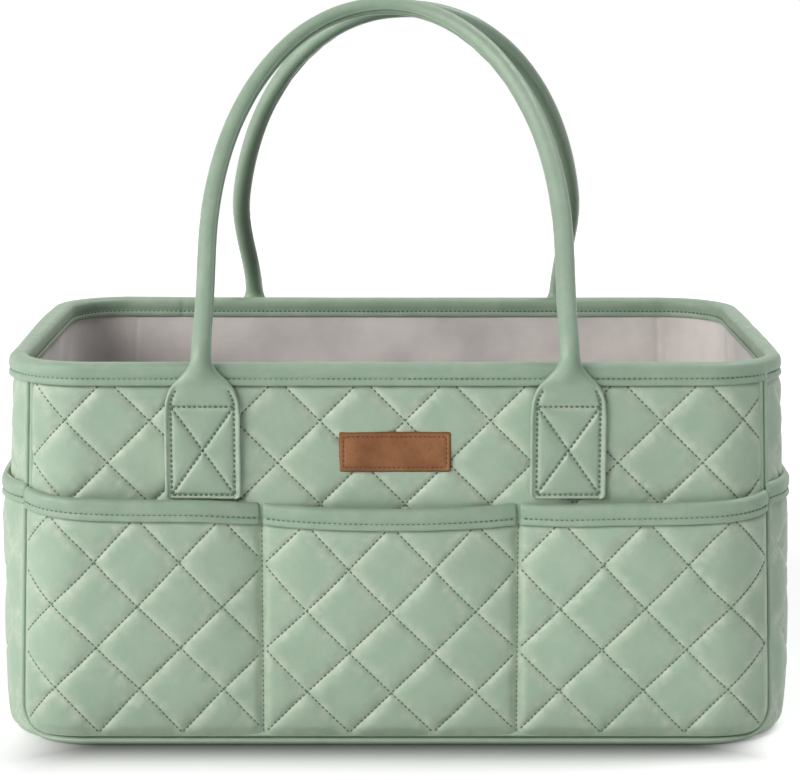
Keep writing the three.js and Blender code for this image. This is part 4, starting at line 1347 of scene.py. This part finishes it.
def box_lines():
    """The stitched box, its cross and the lines beside the neck, by (across the tab's middle, height)."""
    low, high, half = 126.5, 169.6, 15.1
    box = [(-half, low), (half, low), (half, high), (-half, high), (-half, low)]
    lines = [[box[k], box[k + 1]] for k in range(4)] + [[box[0], box[2]], [box[3], box[1]]]
    for side in (-1, 1):
        lines.append([(side * half, high), (side * (half - 0.4), 173), (side * (half - 2.6), 178)])
    return [np.array(line, float) for line in lines]


def box_distance(x, z):
    """Distance across a tab to its nearest stitched line."""
    near = np.full(np.shape(x), 99.0)
    for line in box_lines():
        for (x0, z0), (x1, z1) in zip(line[:-1], line[1:]):
            dx, dz = x1 - x0, z1 - z0
            t = np.clip(((x - x0) * dx + (z - z0) * dz) / (dx * dx + dz * dz), 0, 1)
            near = np.minimum(near, np.hypot(x - x0 - t * dx, z - z0 - t * dz))
    return near


def build_handle(back):
    """A long side's handle in one skin of leather: two sewn tabs that roll into necks and a corded arch."""
    side = "back" if back else "front"
    centre, thick, wide, sizes, square = handle_path(back)
    flat = np.array([squared_round(a, b, n) for (a, b), n in zip(sizes, square)])
    across, out = flat[..., 0], flat[..., 1]
    height = np.repeat(centre[:, 2:], HANDLE_SIDES, 1)
    on_tab = (1 - smooth(height, 172, 184)) * (out > 0)
    near = box_distance(across, height)
    relief = on_tab * (1.15 * (1 - np.exp(-near / 2.2)) - 0.6 * bell(near, 0.8))
    # The tab's edge is folded under and stands up as a narrow bead.
    from_edge = np.minimum(sizes[:, :1] - np.abs(across), 99)
    relief += on_tab * (0.35 * bell(from_edge - 0.9, 0.6) - 0.3 * bell(from_edge - 2.0, 0.5))
    run, around = np.arange(len(centre))[:, None] * HANDLE_STEP, np.arange(HANDLE_SIDES) * 0.5
    relief += 0.12 * noise(run, around, 11, 301 + back)
    # Past the neck a butted seam closes the sleeve inside the arch, and turns away towards the right leg.
    seam_angle = math.radians(158) + math.radians(50) * smooth(centre[:, 0], 0, 85)[:, None]
    around_from = (np.arctan2(out, across) % (2 * math.pi) - seam_angle) * sizes[:, :1]
    beads = sum(0.5 * bell(around_from - at, 0.4) for at in (-0.75, 0.75)) - 0.35 * bell(around_from, 0.3)
    swell = 1 + beads * smooth(height, 200, 216) / sizes[:, :1]
    across, out = across * swell, out * swell
    centre = centre + np.array([HANDLE_SHIFT, 0, 0])
    section = lambda a, o: wide[:, None] * a[..., None] + thick[:, None] * o[..., None]
    rings = turned(centre[:, None] + section(across, out + relief), back)
    piece = make_object(f"{side}_handle", *loft(rings), "sleeve")
    places = rings.reshape(-1, 3)
    # Along the tab's stitched lines and folded edge the leather is painted paler: partly wear, partly a
    # painted highlight.
    wear_and_highlight = on_tab * np.maximum(np.exp(-near / 1.6), 1.25 * np.exp(-from_edge / 0.8))
    store_share(piece, places, wear_and_highlight.ravel())
    # The sleeve's deeper colour is painted strongest on the side that faces right and down, to match the
    # shade across it in the photograph.
    facing = turned(unit(section(across, out)), back)
    deep = 0.15 + 0.85 * smooth(facing @ np.array([0.8, 0, -0.6]), -0.35, 0.75)
    store_share(piece, places, (smooth(height, 176, 196) * deep).ravel(), "sleeve")
    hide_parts(f"{side}_handle_sleeve", f"{side}_left_handle_tab", f"{side}_right_handle_tab")
    y = (1 if back else -1) * HINGE[0] * MM
    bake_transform(piece)

    # The cord that fills the sleeve
    angle = np.arange(16) * math.pi / 8
    inside = centre[:, 2] > CORD_FROM
    cord = centre[:, None] + CORD_RADIUS * section(np.cos(angle), np.sin(angle))
    piece = make_object(f"{side}_cord", *loft(turned(cord[inside], back)), "cord")
    settle(piece, f"{side}_handle", [f"{side}_handle_cord"])

    runs = []
    for x in (HANDLE_SHIFT - HANDLE_SPAN / 2, HANDLE_SHIFT + HANDLE_SPAN / 2):
        for line in box_lines():
            flat = resample(line, 1.0)
            y = np.interp(flat[:, 1], TAB_SHAPE[:, 0], TAB_SHAPE[:, 1] + TAB_SHAPE[:, 3]) - 0.33
            points = np.stack([x + flat[:, 0], -y, flat[:, 1]], -1)
            runs.append((turned(points, back), turned(np.tile(FORWARD, (len(flat), 1)), back)))
    add_thread(f"{side}_handle_thread", runs, "caddy", "handle_leather", **TAB_STITCH)


# Patch, divider and boards

# The patch: half its width and height, its middle along the wall and up it, its corners' radius, how far
# inside its edge it is sewn, and how far its face lies off the tub's outside
PATCH_HALF = (26.9, 9.75)
PATCH_MIDDLE = (-0.7, 147.0)
PATCH_CORNER = 0.9
PATCH_HEM = 2.2
PATCH_OFF = 1.75


def build_patch():
    """The leather patch, bare, sewn round its edge."""
    half_w, half_h = PATCH_HALF
    us = np.linspace(-half_w, half_w, even(129))
    vs = np.linspace(-half_h, half_h, even(49))
    u, v = np.meshgrid(us, vs)
    corner = np.clip(PATCH_CORNER - (half_h - np.abs(v)), 0, PATCH_CORNER)
    limit = half_w - PATCH_CORNER + np.sqrt(PATCH_CORNER**2 - corner**2)
    x = np.clip(u, -limit, limit)
    depth = np.minimum(limit - np.abs(x), half_h - np.abs(v))
    off = PATCH_OFF + 0.22 * noise(x, v, 11, 401) + 0.06 * noise(x, v, 2.2, 402)
    off = off - 0.35 * bell(depth - PATCH_HEM, 0.7) - 0.8 * (1 - smooth(depth, 0, 0.9))
    off = off + 0.12 * smooth(depth, PATCH_HEM, 6)
    at = (x + PATCH_MIDDLE[0], v + PATCH_MIDDLE[1])
    grid = Grid(us, vs, wall(*at, off), slope_normals(wall, *at))
    share = np.clip(1 - depth / 1.4, 0, 1)
    finish = {"fill": None, "material": "patch", "slot": "tan_leather"}
    add_sheet("tan_patch", "leather_patch", grid, wall(*at, -1.2), (0, 0), share, **finish)
    w, h = half_w - PATCH_HEM, half_h - PATCH_HEM
    loop = resample(np.array([(-w, -h), (w, -h), (w, h), (-w, h), (-w, -h)], float), 0.8)
    sewn = [grid.at(loop[:, 0], loop[:, 1])]
    add_thread("tan_patch_thread", sewn, "caddy", "tan_leather", "tan_thread", **PATCH_STITCH)


# How far apart a plate's places are
PLATE_PITCH = 1.6
# A divider wall's corner where it shows and where it meets another, and the rounding of its edge
WALL_CORNER, JOINED_CORNER, WALL_EDGE = 6.0, 1.5, 3.0
# Its hem: how far inside the edge, how deep, and its rounding at the corners
HEM_INSET, HEM_DEPTH, HEM_CORNER = 5.5, 0.45, 0.6


def plate(width, height, thickness, radius, edge, seed, hem=0.0):
    """Points and faces of a padded upright plate, bound along its edge, standing on the ground at its middle.
    Its stitched hem draws it in."""
    xs = np.linspace(-width / 2, width / 2, even(int(width / PLATE_PITCH)))
    zs = np.linspace(0, height, even(int(height / PLATE_PITCH)))
    x, z = np.meshgrid(xs, zs)
    up = np.minimum(z, height - z)
    past = np.maximum(radius - up, 0)
    limit = width / 2 - radius + np.sqrt(np.maximum(radius**2 - past**2, 0))
    x = np.clip(x, -limit, limit)
    depth = np.minimum(limit - np.abs(x), up)
    round_off = np.sqrt(1 - (1 - np.clip(depth / edge, 0, 1)) ** 2)
    half = thickness / 2 * (0.3 + 0.7 * round_off) - hem * bell(depth - HEM_INSET, 0.7)
    sides = []
    for k, sign in enumerate((-1, 1)):
        y = sign * (half + 0.08 * noise(x, z, 12, seed + k) * smooth(depth, 1, 8))
        sides.append(np.stack([x, y, z], -1))
    return closed_sheet(*sides, leans(x, z, (0, 0)), 2 if len(xs) < 20 else 4)


def hem_line(width, height):
    """A rounded rectangle, a hem's way inside a plate's edge."""
    inset = HEM_INSET + HEM_CORNER
    side, top = width / 2 - inset, height - inset
    points = []
    for x, z, start in ((side, inset, -90), (side, top, 0), (-side, top, 90), (-side, inset, 180)):
        for step in range(6):
            angle = math.radians(start + 18 * step)
            points.append((x + HEM_CORNER * math.cos(angle), z + HEM_CORNER * math.sin(angle)))
    return np.array(points + points[:1])


def build_divider():
    """The lift-out divider: three padded walls with sewn edges, and its hook strips on the loop strips of the
    lining."""
    for seed, name in enumerate(("left", "right", "middle")):
        low, high, size = cad_box(f"divider_{name}_wall")
        crosswise = size[1] > size[0]
        order = [1, 0, 2] if crosswise else [0, 1, 2]
        width, height = size[order[0]], size[2]
        place = lambda p: p[..., order] + np.array([(low[0] + high[0]) / 2, 0, low[2]])
        corner = WALL_CORNER if crosswise else JOINED_CORNER
        thickness = size[order[1]]
        points, faces = plate(width, height, thickness, corner, WALL_EDGE, 500 + 4 * seed, HEM_DEPTH)
        piece = make_object(f"divider_{name}", place(points), faces, "divider")
        settle(piece, "divider", [f"divider_{name}_wall"])
        line = hem_line(width, height)
        runs = []
        for sign in (-1, 1):
            run = resample(np.stack([line[:, 0], 0 * line[:, 0] + sign * 1.65, line[:, 1]], -1), 1.0)
            runs.append((place(run), np.tile(np.array([0.0, sign, 0.0])[order], (len(run), 1))))
        add_thread(f"divider_{name}_thread", runs, "divider", "divider_fabric", "grey_thread", **LONG_STITCH)
    for kind, body in (("hook", "divider"), ("loop", "caddy")):
        for spot in ("front_left", "front_right", "back_left", "back_right"):
            low, high, size = cad_box(f"{kind}_strip_{spot}")
            points, faces = plate(size[0], size[2], size[1], 1.0, 0.6, 540)
            middle = np.array([(low[0] + high[0]) / 2, (low[1] + high[1]) / 2, low[2]])
            piece = make_object(f"{kind}_tape_{spot}", points + middle, faces, kind)
            settle(piece, body, [f"{kind}_strip_{spot}"])


def finish_boards():
    """The finish of the boards, the CAD nodes that stay as they are."""
    for name, item in frame["nodes"].items():
        if name.endswith("_board"):
            for held in item.material_slots:
                held.material = MATERIALS["board"]


# The studio, in metres

AMBIENT = 0.16
WARM = (1.0, 0.985, 0.96)
SWEEP_HALF = 2.5
CAMERA_PLACE = (0.0017, -1.2611, 0.3742)
CAMERA_TILT = math.radians(80.2)
LENS = 108.77
SENSOR = 36.0


def add_lamp(name, kind, place, target, power, colour, **settings):
    """Hangs a lamp at a place, shining towards a target."""
    data = bpy.data.lights.new(name, kind)
    data.energy, data.color = power, colour
    for key, value in settings.items():
        setattr(data, key, value)
    lamp = bpy.data.objects.new(name, data)
    lamp.location = place
    lamp.rotation_euler = (Vector(place) - Vector(target)).to_track_quat("Z", "Y").to_euler()
    bpy.context.scene.collection.objects.link(lamp)


def build_stage(settings):
    """The pale floor, the soft light from the upper left, and the camera."""
    scene = bpy.context.scene
    s = SWEEP_HALF
    mesh = bpy.data.meshes.new("paper_sweep")
    mesh.from_pydata([(-s, -s, 0), (s, -s, 0), (s, s, 0), (-s, s, 0)], [], [(0, 1, 2, 3)])
    mesh.materials.append(MATERIALS["floor"])
    floor = bpy.data.objects.new("paper_sweep", mesh)
    scene.collection.objects.link(floor)
    floor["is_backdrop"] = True

    scene.world = bpy.data.worlds.new("studio")
    scene.world.use_nodes = True
    tree = scene.world.node_tree
    strength = add_node(tree, "MapRange", {"Value": seen_white(tree), "To Min": AMBIENT, "To Max": 1.0})
    set_inputs(tree, tree.nodes["Background"], {"Color": (1, 1, 1, 1), "Strength": strength})

    key, origin = settings.key_light, (0, 0, 0)
    add_lamp("key", "SUN", (-0.66, -0.72, 0.52), origin, 1.76 * key, WARM, angle=math.radians(36))
    add_lamp("top", "SUN", (0.5, 0.32, 1.0), origin, 1.35 * key, (1.0, 1.0, 1.0), angle=math.radians(30))
    add_lamp("side", "AREA", (-1.4, -0.5, 0.5), (0, 0, 0.12), 6.5 * key, WARM, shape="DISK", size=0.7)

    data = bpy.data.cameras.new("camera")
    data.lens, data.sensor_width = LENS, SENSOR
    camera = bpy.data.objects.new("camera", data)
    camera.location = CAMERA_PLACE
    camera.rotation_euler = (CAMERA_TILT, 0, 0)
    scene.collection.objects.link(camera)
    scene.camera = camera
    scene.view_settings.view_transform = "Standard"


# The add-on


def colour_property(name, description, code):
    """A colour that a user can set."""
    return FloatVectorProperty(
        name=name, description=description, subtype="COLOR", size=4, min=0, max=1, default=linear(code)
    )


def length_property(name, description, metres):
    """A length that a user can set."""
    return FloatProperty(name=name, description=description, default=metres, unit="LENGTH")


class CaddySettings(PropertyGroup):
    """Colours and sizes of the caddy that a user would change."""

    leather: colour_property("Leather", "Main colour of the quilted leather", "#a0b7a1")
    leather_pale: colour_property("Leather, brushed", "Where the brushed face catches the light", "#c9d0bf")
    leather_deep: colour_property("Leather, deep", "In the grain and the darker clouds", "#869f88")
    binding: colour_property("Binding", "Colour of the bindings and handles", "#91a893")
    thread: colour_property("Thread", "Colour of the sewing thread", "#587560")
    patch: colour_property("Patch", "Colour of the small leather patch", "#976743")
    lining: colour_property("Lining", "Colour of the fabric lining", "#ebe5e2")
    puff_depth: length_property("Puff depth", "How high the quilting stands over its sewn lines", 0.0019)
    pocket_swell: length_property("Pocket swell", "How far a long pocket stands off the wall", 0.0062)
    side_swell: length_property("Side pocket swell", "How far a side pocket stands off the gusset", 0.0032)
    key_light: FloatProperty(
        name="Key light", description="Strength of the studio light", default=1.0, subtype="FACTOR"
    )


def settings_of(context):
    """The scene's settings, with the materials mixed on first use."""
    settings = context.scene.caddy
    if not MATERIALS:
        mix_materials(settings)
    return settings


class CADDY_OT_stage(Operator):
    """Build the floor, the lights and the camera"""

    bl_idname = "caddy.stage"
    bl_label = "Studio"

    def execute(self, context):
        build_stage(settings_of(context))
        return {"FINISHED"}


class CADDY_OT_walls(Operator):
    """Build the quilted front and back panels"""

    bl_idname = "caddy.walls"
    bl_label = "Front and back panels"

    def execute(self, context):
        for back in (False, True):
            build_wall_panel(back, settings_of(context))
        return {"FINISHED"}


class CADDY_OT_long_pockets(Operator):
    """Build the pocket sheets and bindings of the long sides"""

    bl_idname = "caddy.long_pockets"
    bl_label = "Long pockets"

    def execute(self, context):
        for back in (False, True):
            build_long_pocket(back, settings_of(context))
        return {"FINISHED"}


class CADDY_OT_gusset(Operator):
    """Build the gusset round the sides and bottom, with the side pockets"""

    bl_idname = "caddy.gusset"
    bl_label = "Gusset and side pockets"

    def execute(self, context):
        for mirrored in (False, True):
            build_side(mirrored, settings_of(context))
        build_bottom(settings_of(context))
        return {"FINISHED"}


class CADDY_OT_seams(Operator):
    """Build the turned seams between the long panels and the gusset"""

    bl_idname = "caddy.seams"
    bl_label = "Turned seams"

    def execute(self, context):
        settings_of(context)
        for back in (False, True):
            build_seam(back)
        return {"FINISHED"}


class CADDY_OT_rim(Operator):
    """Build the binding of the top edge"""

    bl_idname = "caddy.rim"
    bl_label = "Rim binding"

    def execute(self, context):
        settings_of(context)
        build_rim()
        return {"FINISHED"}


class CADDY_OT_lining(Operator):
    """Build the fabric lining"""

    bl_idname = "caddy.lining"
    bl_label = "Lining"

    def execute(self, context):
        settings_of(context)
        build_lining()
        return {"FINISHED"}


class CADDY_OT_handles(Operator):
    """Build both carry handles with their tabs and cords"""

    bl_idname = "caddy.handles"
    bl_label = "Handles"

    def execute(self, context):
        settings_of(context)
        for back in (False, True):
            build_handle(back)
        return {"FINISHED"}


class CADDY_OT_patch(Operator):
    """Build the bare leather patch"""

    bl_idname = "caddy.patch"
    bl_label = "Leather patch"

    def execute(self, context):
        settings_of(context)
        build_patch()
        return {"FINISHED"}


class CADDY_OT_divider(Operator):
    """Build the lift-out divider and the touch tapes"""

    bl_idname = "caddy.divider"
    bl_label = "Divider and tapes"

    def execute(self, context):
        settings_of(context)
        build_divider()
        return {"FINISHED"}


class CADDY_OT_boards(Operator):
    """Finish the stiffening boards inside the walls and the base"""

    bl_idname = "caddy.boards"
    bl_label = "Boards"

    def execute(self, context):
        settings_of(context)
        finish_boards()
        return {"FINISHED"}


OPERATORS = (
    CADDY_OT_stage,
    CADDY_OT_walls,
    CADDY_OT_long_pockets,
    CADDY_OT_gusset,
    CADDY_OT_seams,
    CADDY_OT_rim,
    CADDY_OT_lining,
    CADDY_OT_handles,
    CADDY_OT_patch,
    CADDY_OT_divider,
    CADDY_OT_boards,
)


class CADDY_PT_pieces(Panel):
    """Lists the settings and the operators that build each piece"""

    bl_idname = "CADDY_PT_pieces"
    bl_label = "Diaper caddy"
    bl_space_type = "VIEW_3D"
    bl_region_type = "UI"
    bl_category = "Caddy"

    def draw(self, context):
        for name in CaddySettings.__annotations__:
            self.layout.prop(context.scene.caddy, name)
        for operator in OPERATORS:
            self.layout.operator(operator.bl_idname)


CLASSES = (CaddySettings, *OPERATORS, CADDY_PT_pieces)


def register():
    """Registers the classes and gives the scene its settings."""
    for item in CLASSES:
        bpy.utils.register_class(item)
    bpy.types.Scene.caddy = PointerProperty(type=CaddySettings)


def unregister():
    """Takes the settings and the classes away again."""
    del bpy.types.Scene.caddy
    for item in reversed(CLASSES):
        bpy.utils.unregister_class(item)


def main():
    """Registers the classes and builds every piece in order."""
    register()
    for operator in OPERATORS:
        group, name = operator.bl_idname.split(".")
        getattr(getattr(bpy.ops, group), name)()
    bpy.context.view_layer.update()
    lists = lambda box: [[float(v) for v in corner] for corner in box]
    {"cad": lists(CAD_BOX), "visual": lists(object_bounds())}


if __name__ == "__main__":
    main()
